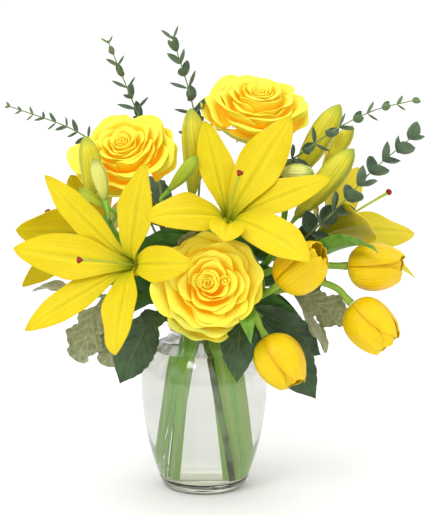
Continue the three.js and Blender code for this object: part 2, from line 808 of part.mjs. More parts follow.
for (const stem of LILY_STEMS) {
  const { shaft } = standIn(stem, RADII.lily, { steps: 9 });
  const parts = [shaft];
  // A stalk from the stem to the foot of a bloom or a bud, ending in a knob just short of it.
  const stalk = (joins, seat, axis, radius, knob) => {
    const end = seat.clone().addScaledVector(axis, -GAP);
    const bend = end.clone().addScaledVector(axis, -14);
    const line = new THREE.CatmullRomCurve3([V(...joins), bend, end.clone().addScaledVector(axis, -1)]);
    parts.push(tube(line, radius, { sides: 4, steps: 2 }));
    const cap = lathe([[0, -5], [radius * 0.8, -5], [knob, 0], [0, 0]], 6);
    parts.push(cap.applyMatrix4(standing(end, axis)));
  };
  for (const bloom of stem.blooms) {
    const seat = V(...bloom.seat);
    const axis = V(...bloom.axis).normalize();
    stalk(bloom.joins, seat, axis, 2.6, 4.4);
    bouquet.add(piece(bloom.name, lilyBloom(bloom.tepals), COLOURS.lily, standing(seat, axis)));
    bouquet.add(piece(bloom.name + "_pistil", pistil(), COLOURS.stigma, standing(seat, axis)));
  }
  for (const bud of stem.buds) {
    const seat = V(...bud.seat);
    const axis = V(...bud.tip).sub(seat);
    stalk(bud.joins, seat, axis.clone().normalize(), 1.8, 3);
    bouquet.add(piece(bud.name, lilyBud(axis.length(), bud.radius), bud.colour, standing(seat, axis)));
  }
  bouquet.add(piece(stem.name + "_stem", fuse(parts), COLOURS.stem));
}

SPRAYS.forEach((spray, k) => {
  openHole(spray.line, RADII.eucalyptus);
  bouquet.add(piece(spray.name, eucalyptusSpray(spray, 20 + k), COLOURS.eucalyptus));
});

for (const plant of FOLIAGE) {
  const { curve, shaft } = standIn(plant.line, plant.radius, { sides: 4, steps: LEAFY_STEPS });
  const leaves = plant.leaves.map(([share, axis, side, length, width, arch]) =>
    leafOn(onTube(curve, LEAFY_STEPS, share).point, axis, side, plant.leaf(length, width, arch)),
  );
  bouquet.add(piece(plant.name, fuse([shaft, ...leaves]), plant.colour));
}

bouquet.add(piece("vase", vaseGeometry(), COLOURS.glass));
bouquet.add(piece("water", waterGeometry(holes), COLOURS.water));

export default bouquet;
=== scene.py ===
import random
from math import cos, pi, radians, sin

import bpy
import numpy as np
from mathutils import Matrix, Vector


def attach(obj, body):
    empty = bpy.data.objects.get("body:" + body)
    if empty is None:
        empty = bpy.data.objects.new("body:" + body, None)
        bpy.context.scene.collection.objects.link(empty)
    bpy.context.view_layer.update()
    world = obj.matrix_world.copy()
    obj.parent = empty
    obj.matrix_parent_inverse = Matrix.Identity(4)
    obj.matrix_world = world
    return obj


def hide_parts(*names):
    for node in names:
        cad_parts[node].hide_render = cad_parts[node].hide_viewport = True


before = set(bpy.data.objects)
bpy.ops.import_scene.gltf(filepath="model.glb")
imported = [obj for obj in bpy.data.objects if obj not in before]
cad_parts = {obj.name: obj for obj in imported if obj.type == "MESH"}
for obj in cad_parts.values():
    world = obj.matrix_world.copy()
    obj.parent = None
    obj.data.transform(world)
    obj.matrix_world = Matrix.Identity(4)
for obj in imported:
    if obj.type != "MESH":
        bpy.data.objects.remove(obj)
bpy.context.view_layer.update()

MM = 0.001

# ---- driving sizes, in metres

WATER_LEVEL = 142 * MM
RINGS = {"outer": (38 * MM, 24 * MM), "middle": (24 * MM, 14.5 * MM)}  # at the foot, in the neck
SPREAD = 0.55  # share of its angle that a stem's foot keeps, as the feet part left and right
FOOT_HEIGHT, NECK_HEIGHT = 13 * MM, 150 * MM

TULIP = {"radius": 24 * MM, "height": 56 * MM}
TEPAL = {"length": 130 * MM, "inner": 23 * MM, "outer": 18 * MM}
STYLE = {"length": 94 * MM, "radius": 1.5 * MM, "stigma": 3.6 * MM}
RADII = {"lily": 4.2 * MM, "rose": 3 * MM, "tulip": 3.4 * MM, "eucalyptus": 1.3 * MM, "leafy": 1.8 * MM}

LEAF, PETAL = 0.7 * MM, 0.8 * MM  # thickness
SEAT_GAP = 0.3 * MM  # between a bloom or bud and its stem
FULL = 2 * pi
GOLDEN = radians(137.5)  # between one petal of a rose and the next

# The petals of a rose: how many are in each set, and in millimetres the radius of the innermost and
# outermost full petals and the height of the middle.
ROSE = {"whorl": 9, "beside": 4, "petals": 22, "guards": 4, "inner": 13, "outer": 51, "tall": 39}

# The glass vase, in millimetres: its outer wall as (radius, height), the thickness of the wall, and
# the heights of its inner floor and of the foot's rounding.
VASE_OUTLINE = [(45, 10), (55.5, 44), (63.2, 92), (62.2, 125), (52, 145), (38, 154), (34.5, 161), (44, 175)]
WALL, FLOOR, FOOT_TOP = 3, 9, 12

# ---- where everything stands
# seat is the foot of a bloom, axis the way that it faces, ring and turn the place of its stem in
# the neck, and way the stem's line above the neck. All in millimetres here, as they were measured.

ROSES = [
    dict(name="rose_upper", seat=(52, 52, 364), axis=(0.1, -0.42, 0.91), seed=3, ring="middle", turn=77,
         way=[(14, 34, 235), (36, 52, 315)]),
    dict(name="rose_left", seat=(-74, 22, 324), axis=(-0.18, -0.65, 0.74), seed=7, ring="middle", turn=157,
         way=[(-28, 18, 220), (-52, 30, 285)]),
    dict(name="rose_front", seat=(6.5, -70, 216), axis=(0.04, -0.92, 0.38), seed=12, twin=(12, 1),
         ring="outer", turn=-84, way=[(3, -34, 190), (5, -50, 206)]),
]

# leaves: share of the way along the stem, direction they leave in, side they arch to, length,
# width and arch in degrees
TULIPS = [
    dict(name="tulip_inner", seat=(74, -58, 220), axis=(0.7, -0.3, 0.62), open=0.1, ring="outer", turn=-24,
         way=[(34, -24, 191), (56, -44, 205)], leaves=[(0.86, (0, -0.3, 1), (0.5, 1, 0), 52, 24, -16)]),
    dict(name="tulip_right", seat=(142, -24, 231), axis=(1, -0.15, 0.02), open=0.15, ring="middle",
         turn=-13, way=[(32, -8, 200), (66, -14, 224), (104, -20, 231)],
         leaves=[(0.86, (0.75, -0.5, 0.7), (0.1, -0.8, -0.75), 112, 28, 62)]),
    dict(name="tulip_low_right", seat=(145, -43, 197), axis=(0.68, -0.2, -0.7), open=0.35, ring="outer",
         turn=-1, way=[(38, -12, 189), (76, -26, 207), (112, -36, 217), (132, -41, 211)], leaves=[]),
    dict(name="tulip_front", seat=(60, -72, 170), axis=(0.5, -0.3, -0.8), open=0.1, ring="outer", turn=-62,
         way=[(17, -34, 189), (34, -53, 200), (50, -66, 190)],
         leaves=[(0.84, (0.05, -0.9, 0.1), (0.1, 0, -1), 74, 19, 62)]),
]

# blooms: name, seat, axis, where its stalk joins the stem, then its tepals by azimuth, opening, share
# of the full length, and curl at the tip, inner and outer in turn
# buds: name, seat, tip, radius, where its stalk joins the stem, and how green it is
# leaves: as on the tulips, but all arch to the same side
BROADSIDE = (0, -0.9, -0.4)  # the side that turns a leaf's face to the viewer
LILIES = [
    dict(name="lily_left", turn=207, way=[(-34, 0, 195), (-66, 6, 232), (-88, -4, 258), (-96, -24, 280)],
         blooms=[
             ("lily_left_front", (-60, -30, 231), (-0.63, -0.734, 0.264), (-52, 4, 216), [(55, 60, 1, 10),
              (129, 57, 1, 14), (173, 56, 1, 12), (218, 60, 1, 14), (291, 56, 0.96, 16),
              (-4, 64, 0.92, 25)]),
             ("lily_left_rear", (-88, 34, 247), (-0.75, 0.6, 0.25), (-64, 5, 230), [(347, 55, 0.8, 14),
              (45, 50, 0.62, 40), (105, 55, 0.85, 14), (165, 55, 0.85, 20), (240, 56, 0.8, 30),
              (308, 58, 0.82, 30)])],
         buds=[
             ("lily_bud_left_large", (-111, -30, 299), (-115, -32, 361), 11, (-95, -20, 276), 0.15),
             ("lily_bud_left_pale", (-96, -50, 302), (-106, -56, 342), 8, (-95, -20, 276), -0.7),
             ("lily_bud_left_small", (-97, -41, 294), (-121, -55, 313), 5, (-92, -13, 269), 0.8)],
         leaves=[(0.68, (0.9, 0.3, 0.2), 84, 24, 25), (0.72, (0.7, 0.4, 0.7), 84, 24, 30),
                 (0.66, (-0.75, -0.1, -0.35), 70, 26, 25), (0.64, (-0.8, -0.25, 0.3), 76, 28, 20),
                 (0.8, (0.8, 0.3, 0.4), 78, 22, 30)]),
    dict(name="lily_centre", turn=-63, way=[(8, -16, 196), (12, 2, 238), (0, 4, 274), (-11, -2, 288)],
         blooms=[
             ("lily_centre_bloom", (23, -25, 269), (0.084, -0.691, 0.717), (9, 3, 252), [(53, 57, 0.97, 8),
              (106, 57, 0.8, 6), (206, 50, 0.92, 30), (259, 38, 0.85, 25), (309, 56, 0.98, 36),
              (7, 58, 0.88, 12)])],
         buds=[
             ("lily_bud_centre_large", (-12, 2, 299), (-13, 6, 384), 12.5, (-10, -1, 286), 0.1),
             ("lily_bud_centre_small", (-34, -20, 306), (-6, -34, 341), 7, (-8, 0, 283), 0.95)],
         leaves=[(0.7, (-1, 0.3, 0.05), 84, 26, 25), (0.72, (1, 0.35, -0.05), 92, 28, 25),
                 (0.79, (-0.9, 0.35, 0.3), 80, 24, 30), (0.8, (0.95, 0.4, 0.2), 90, 26, 30),
                 (0.86, (0.9, 0.5, -0.3), 84, 24, 25), (0.66, (0.9, -0.1, -0.1), 88, 28, 20),
                 (0.65, (-0.9, -0.2, 0.05), 88, 26, 15), (0.9, (-0.9, 0.5, 0.2), 78, 24, 30)]),
    dict(name="lily_right", turn=32, way=[(38, 18, 200), (72, 14, 240), (80, 12, 272), (82, 10, 290)],
         blooms=[
             ("lily_right_bloom", (106, 10, 247), (0.78, -0.09, 0.61), (72, 14, 239), [(62, 52, 0.95, 20),
              (108, 48, 0.4, 20), (206, 46, 0.95, 40), (305, 52, 0.9, 40), (338, 52, 1, 18),
              (30, 52, 0.95, 22)])],
         buds=[
             ("lily_bud_right_upper", (92, 36, 310), (137, 40, 384), 13, (82, 10, 286), 0.2),
             ("lily_bud_right_short", (76, -8, 322), (106, -36, 324), 10, (82, 10, 289), -0.9),
             ("lily_bud_right_large", (92, -18, 280), (147, -21, 347), 13, (80, 12, 270), 0.2),
             ("lily_bud_right_rear", (122, 12, 326), (148, 12, 366), 8, (82, 10, 288), 0.0)],
         leaves=[(0.66, (-1, 0.2, 0.1), 80, 26, 25), (0.64, (0.8, -0.1, -0.3), 76, 28, 20),
                 (0.72, (0.9, 0.3, -0.25), 80, 24, 20), (0.8, (-0.9, 0.4, 0.2), 78, 24, 25),
                 (0.9, (-0.8, 0.5, 0.4), 74, 22, 30)]),
]

# pairs of leaves on each spray, the share of the stem from which they start, leaf length and width,
# what is left of that at the tip, and how far the leaves stand off the stem, in degrees
SPRAYS = [
    dict(name="eucalyptus_left", pairs=12, start=0.7, leaf=(16, 8), tip=0.4, tilt=22, turn=163,
         way=[(-48, 38, 250), (-94, 62, 325), (-128, 50, 355), (-198, 34, 384)]),
    dict(name="eucalyptus_back_left", pairs=11, start=0.72, leaf=(21, 10), tip=0.45, tilt=30, turn=144,
         way=[(-38, 44, 260), (-56, 82, 340), (-72, 68, 382), (-97, 50, 448)]),
    dict(name="eucalyptus_back", pairs=9, start=0.76, leaf=(21, 11), tip=0.7, tilt=30, turn=108,
         way=[(-8, 44, 250), (-4, 56, 330), (-12, 46, 385), (-32, 40, 453)]),
    dict(name="eucalyptus_right", pairs=13, start=0.62, leaf=(18, 11), tip=0.5, tilt=28, turn=52,
         way=[(38, 36, 215), (56, 46, 276), (74, 28, 318), (98, 6, 340), (132, -8, 366), (168, -10, 384),
              (208, -10, 394)]),
    dict(name="eucalyptus_right_low", pairs=12, start=0.55, leaf=(22, 21), tip=0.85, tilt=30, turn=35,
         way=[(52, 9, 203), (82, -4, 238), (107, -29, 267), (130, -44, 292), (162, -34, 325),
              (204, -16, 358)]),
]

# stems of foliage, with leaves listed as on the tulips
FOLIAGE = [
    dict(name="silver_leaves_left", kind="silver", turn=198,
         way=[(-46, -10, 190), (-80, -14, 198), (-106, -20, 200)],
         leaves=[(0.98, (-1, 0.25, 0.45), (0, 0, -1), 74, 34, 45),
                 (0.97, (-0.5, -0.1, -1), (-0.3, 0.4, -1), 74, 36, 18),
                 (0.91, (-0.2, -0.25, -1), (0, 0.5, -1), 72, 34, 15)]),
    dict(name="silver_leaf_centre", kind="silver", turn=253,
         way=[(-20, -36, 190), (-28, -36, 222), (-28, -38, 240)],
         leaves=[(0.98, (0.2, -0.35, 1), (1, -0.5, 0), 54, 36, 40)]),
    dict(name="silver_leaves_right", kind="silver", turn=18,
         way=[(44, 6, 187), (72, 0, 200), (92, -6, 202)],
         leaves=[(0.98, (0.9, -0.05, -0.5), (0.1, 0.9, 0.2), 68, 34, 20),
                 (0.92, (0.95, -0.1, 0.25), (0.1, 0.9, 0.3), 52, 28, 30),
                 (0.98, (0.75, -0.1, -1), (-0.6, 0.3, -1), 72, 30, 15)]),
    dict(name="broad_leaves_left", kind="broad", turn=223,
         way=[(-36, -32, 184), (-48, -44, 188), (-54, -50, 184)],
         leaves=[(0.98, (-0.5, -0.2, -1), (0.1, 0.9, -0.2), 76, 40, 20),
                 (0.9, (-0.2, -1, 0.3), (0, 0, -1), 56, 32, 50)]),
    dict(name="broad_leaves_front", kind="broad", turn=-43,
         way=[(28, -33, 186), (46, -42, 190), (58, -42, 184)],
         leaves=[(0.98, (0.62, 0, -1), (0.2, 0.9, 0), 106, 50, 12),
                 (0.9, (-0.1, -0.95, -0.25), (0, 0.3, -1), 84, 36, 78),
                 (0.94, (0.95, 0.25, -0.62), (0.1, 0.9, -0.4), 98, 40, 24)]),
    dict(name="broad_leaves_back_left", kind="broad", turn=126,
         way=[(-24, 46, 195), (-38, 72, 235), (-44, 84, 258)],
         leaves=[(0.98, (-0.4, 0.5, 1), (-0.2, 1, 0), 80, 40, 50),
                 (0.88, (-1, 0.6, 0.2), (0, 0.4, -1), 76, 38, 50),
                 (0.78, (0.7, 0.9, 0.2), (0, 0.4, -1), 76, 38, 60)]),
    dict(name="broad_leaves_back_right", kind="broad", turn=72,
         way=[(26, 50, 200), (50, 82, 245), (58, 94, 270)],
         leaves=[(0.98, (0.4, 0.4, 1), (0.2, 1, 0), 80, 40, 50),
                 (0.88, (1, 0.5, 0.2), (0, 0.4, -1), 76, 38, 50),
                 (0.78, (-0.3, 1, 0.1), (0, 0.4, -1), 76, 38, 60)]),
]


# ---- sums

def lerp(a, b, share):
    return a + (b - a) * share


def smoothstep(t, low, high):
    x = np.clip((t - low) / (high - low), 0, 1)
    return x * x * (3 - 2 * x)


def ridge(x, width):
    """1 where x is 0, falling smoothly to nothing at about twice that width."""
    return np.exp(-((x / width) ** 2))


def metres(point):
    return Vector(point) * MM


def direction(a):
    return Vector(a).normalized()


def turned(angle, axis="Z"):
    return Matrix.Rotation(angle, 4, axis)


def framed(origin, x, y, z):
    return Matrix.Translation(origin) @ Matrix((x, y, z)).transposed().to_4x4()


def standing(origin, axis):
    """The matrix that stands local +Z along axis at origin, with local +Y upwards."""
    z = direction(axis)
    x = Vector((0, 0.25, 1)).cross(z).normalized()
    return framed(origin, x, z.cross(x), z)


def leaving(origin, axis, side):
    """The matrix of a leaf that leaves origin along axis and arches over towards side."""
    z = direction(axis)
    y = z.cross(Vector(side)).normalized()
    return framed(origin, y.cross(z), y, z)


def on_ring(angle, radius, z):
    angle = radians(angle)
    return Vector((radius * cos(angle), radius * sin(angle), z))


SPAN_STEPS = 30  # points between two given points of a smooth line


def smooth_line(points, count):
    """Points at even steps along a smooth curve through the given ones."""
    points = [np.array(p, float) for p in points]
    points = [2 * points[0] - points[1], *points, 2 * points[-1] - points[-2]]
    dense = []
    for a, b, c, d in zip(points, points[1:], points[2:], points[3:]):
        gaps = [max(np.linalg.norm(q - p), 1e-9) ** 0.5 for p, q in ((a, b), (b, c), (c, d))]
        into = (b - a) / gaps[0] - (c - a) / (gaps[0] + gaps[1]) + (c - b) / gaps[1]
        out = (c - b) / gaps[1] - (d - b) / (gaps[1] + gaps[2]) + (d - c) / gaps[2]
        into, out = into * gaps[1], out * gaps[1]
        t = np.linspace(0, 1, SPAN_STEPS, endpoint=False)[:, None]
        bend = (2 * t**3 - 3 * t**2 + 1) * b + (t**3 - 2 * t**2 + t) * into
        dense.append(bend + (3 * t**2 - 2 * t**3) * c + (t**3 - t**2) * out)
    dense.append(points[-2][None])
    dense = np.concatenate(dense)
    along = np.concatenate([[0], np.cumsum(np.linalg.norm(np.diff(dense, axis=0), axis=1))])
    wanted = np.linspace(0, along[-1], count)
    return np.stack([np.interp(wanted, along, dense[:, k]) for k in range(3)], axis=1)


def stem_points(ring, turn, way, count=64):
    """The line of a stem: straight from its cut end through the neck, then on its own way."""
    side = round(turn / 180) * 180
    foot = on_ring(side + (turn - side) * SPREAD, RINGS[ring][0], FOOT_HEIGHT)
    neck = on_ring(turn, RINGS[ring][1], NECK_HEIGHT)
    through = [foot.lerp(neck, share) for share in (0, 0.5, 1, 1.1)]
    return smooth_line([*through, *way], count)


def point_on(line, share):
    """The point of a line at a share of its length, and the direction there."""
    at = min(share * (len(line) - 1), len(line) - 1.001)
    k = int(at)
    step = line[k + 1] - line[k]
    return Vector(line[k] + step * (at - k)), Vector(step).normalized()


# ---- modelling with sheets

def moved(points, matrix):
    return points @ np.array(matrix.to_3x3()).T + np.array(matrix.translation)


def placed(name, data):
    piece = bpy.data.objects.new(name, data)
    bpy.context.scene.collection.objects.link(piece)
    return piece


def only(*pieces):
    bpy.ops.object.select_all(action="DESELECT")
    for piece in pieces:
        piece.select_set(True)
    bpy.context.view_layer.objects.active = pieces[0]


def sheet(rows, columns, place, matrix=None, tone=0.0):
    """A grid shaped by place(t, s): t runs from the root (0) to the tip (1), s across (-1 to 1)."""
    bpy.ops.mesh.primitive_grid_add(x_subdivisions=columns, y_subdivisions=rows, size=2)
    piece = bpy.context.object
    mesh = piece.data
    flat = np.empty(len(mesh.vertices) * 3)
    mesh.vertices.foreach_get("co", flat)
    flat = flat.reshape(-1, 3)
    shaped = np.stack(place((flat[:, 1] + 1) / 2, flat[:, 0]), axis=1)
    if matrix is not None:
        shaped = moved(shaped, matrix)
    mesh.vertices.foreach_set("co", shaped.ravel())
    shade = mesh.attributes.new("tone", "FLOAT", "POINT")
    shade.data.foreach_set("value", np.full(len(shaped), tone))
    mesh.update()
    return piece


def joined(name, *pieces):
    """One piece of that name made of all the given ones."""
    only(*pieces)
    if len(pieces) > 1:
        bpy.ops.object.join()
    whole = bpy.context.object
    whole.name = whole.data.name = name
    return whole


def smoothed(piece, degrees):
    bpy.ops.object.shade_smooth_by_angle(angle=radians(degrees))
    return piece


def thickened(piece, thickness=LEAF):
    """Gives a sheet its thickness, half to each side."""
    only(piece)
    wall = piece.modifiers.new("thickness", "SOLIDIFY")
    wall.thickness = thickness
    wall.offset = 0
    bpy.ops.object.modifier_apply(modifier=wall.name)
    return smoothed(piece, 50)


SEAM = 1e-6  # points nearer than this are merged
ROUND, FLARED = 80, 40  # the sharpest edge that is shaded smooth, in degrees, on bodies and on the glass


def closed_up(piece, smooth=50, spin=False):
    """Merges the seam of a sheet that was rolled up, fills its ends and points its faces outwards. An
    outline is spun round the axis instead."""
    only(piece)
    bpy.ops.object.mode_set(mode="EDIT")
    bpy.ops.mesh.select_all(action="SELECT")
    if spin:
        bpy.ops.mesh.spin(steps=96, angle=FULL, center=(0, 0, 0), axis=(0, 0, 1))
        bpy.ops.mesh.select_all(action="SELECT")
    bpy.ops.mesh.remove_doubles(threshold=SEAM)
    if not spin:
        bpy.ops.mesh.select_all(action="DESELECT")
        bpy.ops.mesh.select_non_manifold(extend=False, use_wire=False, use_multi_face=False,
                                         use_non_contiguous=False, use_verts=False)
        bpy.ops.mesh.edge_face_add()
        bpy.ops.mesh.select_all(action="SELECT")
    bpy.ops.mesh.normals_make_consistent(inside=False)
    bpy.ops.object.mode_set(mode="OBJECT")
    return smoothed(piece, smooth)


def tube(line, radius, sides=12, tone=0.0):
    """A closed round stem along a line of points. radius is a number or a function of t."""
    steps = len(line) - 1
    along = np.gradient(line, axis=0)
    along /= np.linalg.norm(along, axis=1)[:, None]
    across = np.empty_like(line)
    first = np.cross(along[0], (0, 0, 1) if abs(along[0][2]) < 0.9 else (1, 0, 0))
    across[0] = first / np.linalg.norm(first)
    for k in range(1, len(line)):
        side = across[k - 1] - along[k] * np.dot(across[k - 1], along[k])
        across[k] = side / np.linalg.norm(side)
    other = np.cross(along, across)

    def place(t, s):
        k = np.rint(t * steps).astype(int)
        size = radius(t) if callable(radius) else radius
        a, b = size * np.cos(pi * s), size * np.sin(pi * s)
        points = line[k] + across[k] * a[:, None] + other[k] * b[:, None]
        return points[:, 0], points[:, 1], points[:, 2]

    return closed_up(sheet(steps, sides, place, tone=tone))


def revolved(name, outline):
    """A closed body spun from its outline of (radius, height) in millimetres, from axis to axis."""
    mesh = bpy.data.meshes.new(name)
    edges = [(k, k + 1) for k in range(len(outline) - 1)]
    mesh.from_pydata([(r * MM, 0, z * MM) for r, z in outline], edges, [])
    return closed_up(placed(name, mesh), FLARED, spin=True)


def round_body(outline, rows, columns, matrix):
    """A closed round body from its outline of (radius, height) in millimetres."""
    steps = range(len(outline))

    def place(t, s):
        r, z = (np.interp(t * steps[-1], steps, [p[k] * MM for p in outline]) for k in (0, 1))
        return r * np.cos(pi * s), r * np.sin(pi * s), z

    return closed_up(sheet(rows, columns, place, matrix), ROUND)


def finished(piece, finish, slot, *nodes):
    """Gives a piece its material and the solids that it stands for. slot is not used."""
    piece.data.materials.clear()
    piece.data.materials.append(FINISHES[finish])
    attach(piece, "root")
    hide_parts(*nodes)


# ---- shapes of petals and leaves

def rib_of(length, lean):
    """A rib that leaves the origin along +Z and leans towards +X by lean(t), in radians."""
    steps = 60
    angle = lean((np.arange(steps) + 0.5) / steps)
    x = np.concatenate([[0], np.cumsum(np.sin(angle))]) * length / steps
    z = np.concatenate([[0], np.cumsum(np.cos(angle))]) * length / steps
    at = np.linspace(0, 1, steps + 1)
    return lambda t: (np.interp(t, at, x), np.interp(t, at, z), lean(t))


def ribbed(length, lean, half_width, lift, start=0.0, sway=None):
    """A blade round a leaning rib. lift(t, s) raises it off the flat, as a share of its half width."""
    rib = rib_of(length, lean)

    def place(t, s):
        x, z, angle = rib(t)
        wide = half_width(t, s)
        rise = lift(t, s) * half_width(t, np.zeros_like(s))
        side = s * wide + (sway(t) if sway else 0)
        return start + x - rise * np.cos(angle), side, z + rise * np.sin(angle)

    return place


def bezier(profile, t):
    a, b, c, d = (np.array(p, float)[:, None] for p in profile)
    r, z = (1 - t) ** 3 * a + 3 * (1 - t) ** 2 * t * b + 3 * (1 - t) * t * t * c + t**3 * d
    dr, dz = 3 * (1 - t) ** 2 * (b - a) + 6 * (1 - t) * t * (c - b) + 3 * t * t * (d - c)
    size = np.hypot(dr, dz) + 1e-12
    return r, z, dr / size, dz / size


def rose_petal(profile, span, dip, roll, over, phase, ripple):
    """A petal wrapped round the axis. Its lip rolls outwards by over radians at radius roll, most in
    the middle, and its sides sweep down behind the next petals."""
    body = 0.62  # share of the rows below the rolled lip

    def place(t, s):
        rim = 1 - dip * np.abs(s) ** 3
        rim = rim + 0.02 * np.sin(3.3 * s + phase) + 0.012 * np.sin(9 * s + 2 * phase)
        below = np.clip(t / body, 0, 1)
        r, z, dr, dz = bezier(profile, np.clip(below * rim, 0, 1))
        middle = ridge(s - 0.15 * np.sin(phase), 0.25)
        ends = 1 - 0.75 * s**4
        turn = np.clip((t - body) / (1 - body), 0, 1)
        turn = turn * over * ends * (1 - 0.3 * middle + 0.2 * np.sin(3.7 * s + 2 * phase))
        wide = roll * (0.35 + 0.65 * ends) * (1 + 0.22 * np.sin(2.6 * s + 3 * phase) + 0.45 * middle)
        r = r + wide * (np.sin(turn) * dr + (1 - np.cos(turn)) * dz)
        z = z + wide * (np.sin(turn) * dz - (1 - np.cos(turn)) * dr)
        edge = ripple * t**3
        r = r + edge * np.sin(4.6 * s + phase) + 0.4 * edge * np.sin(11 * s + 2 * phase)
        z = z + 0.6 * edge * np.sin(6.1 * s + 2 * phase)
        r = r * (1 + 0.07 * s * below)
        angle = s * np.radians(span) * (0.5 + 0.5 * smoothstep(t, 0, 0.4))
        return r * np.cos(angle), r * np.sin(angle), z

    return place


def rose_bloom(name, seat, axis, seed, twin=None):
    """Petals wound round the middle by the golden angle: upright inside, flared and rolled outside.
    twin is where a second, smaller whorl stands beside the first."""
    draw = random.Random(seed)
    place_at = standing(seat, axis)
    petals = []
    golden, middle, beside = 0, (0, 0), (0, 0)
    if twin:
        golden, middle, beside = 0.4, [-0.35 * a * MM for a in twin], [a * MM for a in twin]
    inner, outer, tall = ROSE["inner"], ROSE["outer"], ROSE["tall"]

    def add(turn, rim, height, flare, roll, over, span, dip, ripple, tone, centre=(0, 0)):
        """One petal: rim is its radius, flare how far it opens, and over the angle that its lip rolls by
        at radius roll. Lengths in millimetres, span in degrees."""
        wobble = 0.03 + 0.05 * rim / outer
        end = (rim - roll, height - 0.3 * roll)
        profile = [(3.5, 1.5), (max(rim - flare, 2), 0.3 * height),
                   (end[0] - 0.75 * flare, end[1] - 1.15 * flare - 1.5), end]
        profile = [(r * MM, z * MM) for r, z in profile]
        place = rose_petal(profile, span, dip, roll * MM, over, draw.uniform(0, 6.28), ripple * MM)
        tilt = turned(draw.uniform(-wobble, wobble), "X")
        at = place_at @ Matrix.Translation((*centre, 0)) @ tilt @ turned(turn)
        petals.append(sheet(30, 26, place, at, tone + golden if tone > 0 else tone))

    for k in range(ROSE["whorl"]):
        out = k / (ROSE["whorl"] - 1)
        add(GOLDEN * k + draw.uniform(-0.2, 0.2), lerp(1.8, 12, out), tall + lerp(-1, 1, out),
            lerp(0.6, 2.2, out), lerp(0.6, 1.7, out), lerp(1.1, 1.4, out), lerp(115, 92, out), 0.08, 0.4,
            lerp(1, 0.75, out), middle)
    for k in range(ROSE["beside"] if twin else 0):
        rim = lerp(2.2, 6, k / (ROSE["beside"] - 1))
        add(GOLDEN * k + 1, rim, tall - 1, 1, 0.9, 1.5, 110, 0.06, 0.3, 0.8, beside)
    for k in range(ROSE["petals"]):
        out = k / (ROSE["petals"] - 1)
        add(GOLDEN * (k + ROSE["whorl"]) + draw.uniform(-0.2, 0.2), lerp(inner, outer - 1, out**0.9),
            tall - (20 * out**1.6 - draw.uniform(-1.5, 1.5) * (1 + out)), lerp(2.6, 9, out),
            lerp(2.4, 7, out) * draw.uniform(0.8, 1.2), lerp(1.2, 1.6, out) * draw.uniform(0.85, 1.1),
            lerp(76, 56, out) + draw.uniform(-8, 8), lerp(0.12, 0.26, out), lerp(0.7, 3, out),
            -0.8 if k == 19 and twin else 0.6 * (1 - out))
    for k in range(ROSE["guards"]):
        add(GOLDEN * (k + ROSE["petals"]) - 0.7 + draw.uniform(-0.2, 0.2), outer + draw.uniform(0, 4),
            lerp(17, 9, k / (ROSE["guards"] - 1)), 13, 4.5, 1.2, 50 + draw.uniform(-4, 4), 0.2, 2.6,
            -1 if k == 1 else -0.2)
    return thickened(joined(name, *petals))


def tulip_bloom(name, seat, axis, opened, seed):
    """Two rings of three petals that wrap over each other. The first petal stands off a little."""
    draw = random.Random(seed)
    place_at = standing(seat, axis)
    radius, height = TULIP["radius"], TULIP["height"]
    petals = []

    def petal(profile, phase):
        def place(t, s):
            rim = 1 - 0.17 * np.abs(s) ** 2.2 * t + 0.025 * np.sin(5 * s + phase) * t**3
            r, z, _, _ = bezier(profile, t * rim)
            rib = 0.9 * MM * ridge(s, 0.1) * t * (1 - t)
            r = r + 1.4 * MM * np.sin(3.5 * s + phase) * t**4 - rib
            r = r + 0.5 * MM * np.sin(9 * s + 2 * phase) * t
            r = r * (1 + 0.08 * s)
            angle = s * np.radians(64 - 10 * t**3)
            return r * np.cos(angle), r * np.sin(angle), z

        return place

    for ring, (inset, first) in enumerate(((0, 0), (2.6 * MM, pi / 3))):
        for k in range(3):
            lean = 0.5 * opened + draw.uniform(-0.15, 0.15) + (0.9 * opened if ring == k == 0 else 0)
            end = lerp(radius * 0.42, radius * 1.02, lean) - inset * 0.6, height - draw.uniform(0, 3) * MM
            profile = [(3 * MM, 0.6 * MM), (radius * 1.24 - inset, 2 * MM),
                       (radius * 1.16 - inset, height * 0.72), end]
            place = petal(profile, draw.uniform(0, 6.28))
            petals.append(sheet(30, 24, place, place_at @ turned(first + k * FULL / 3), 0.3 * ring))
    return thickened(joined(name, *petals), PETAL)


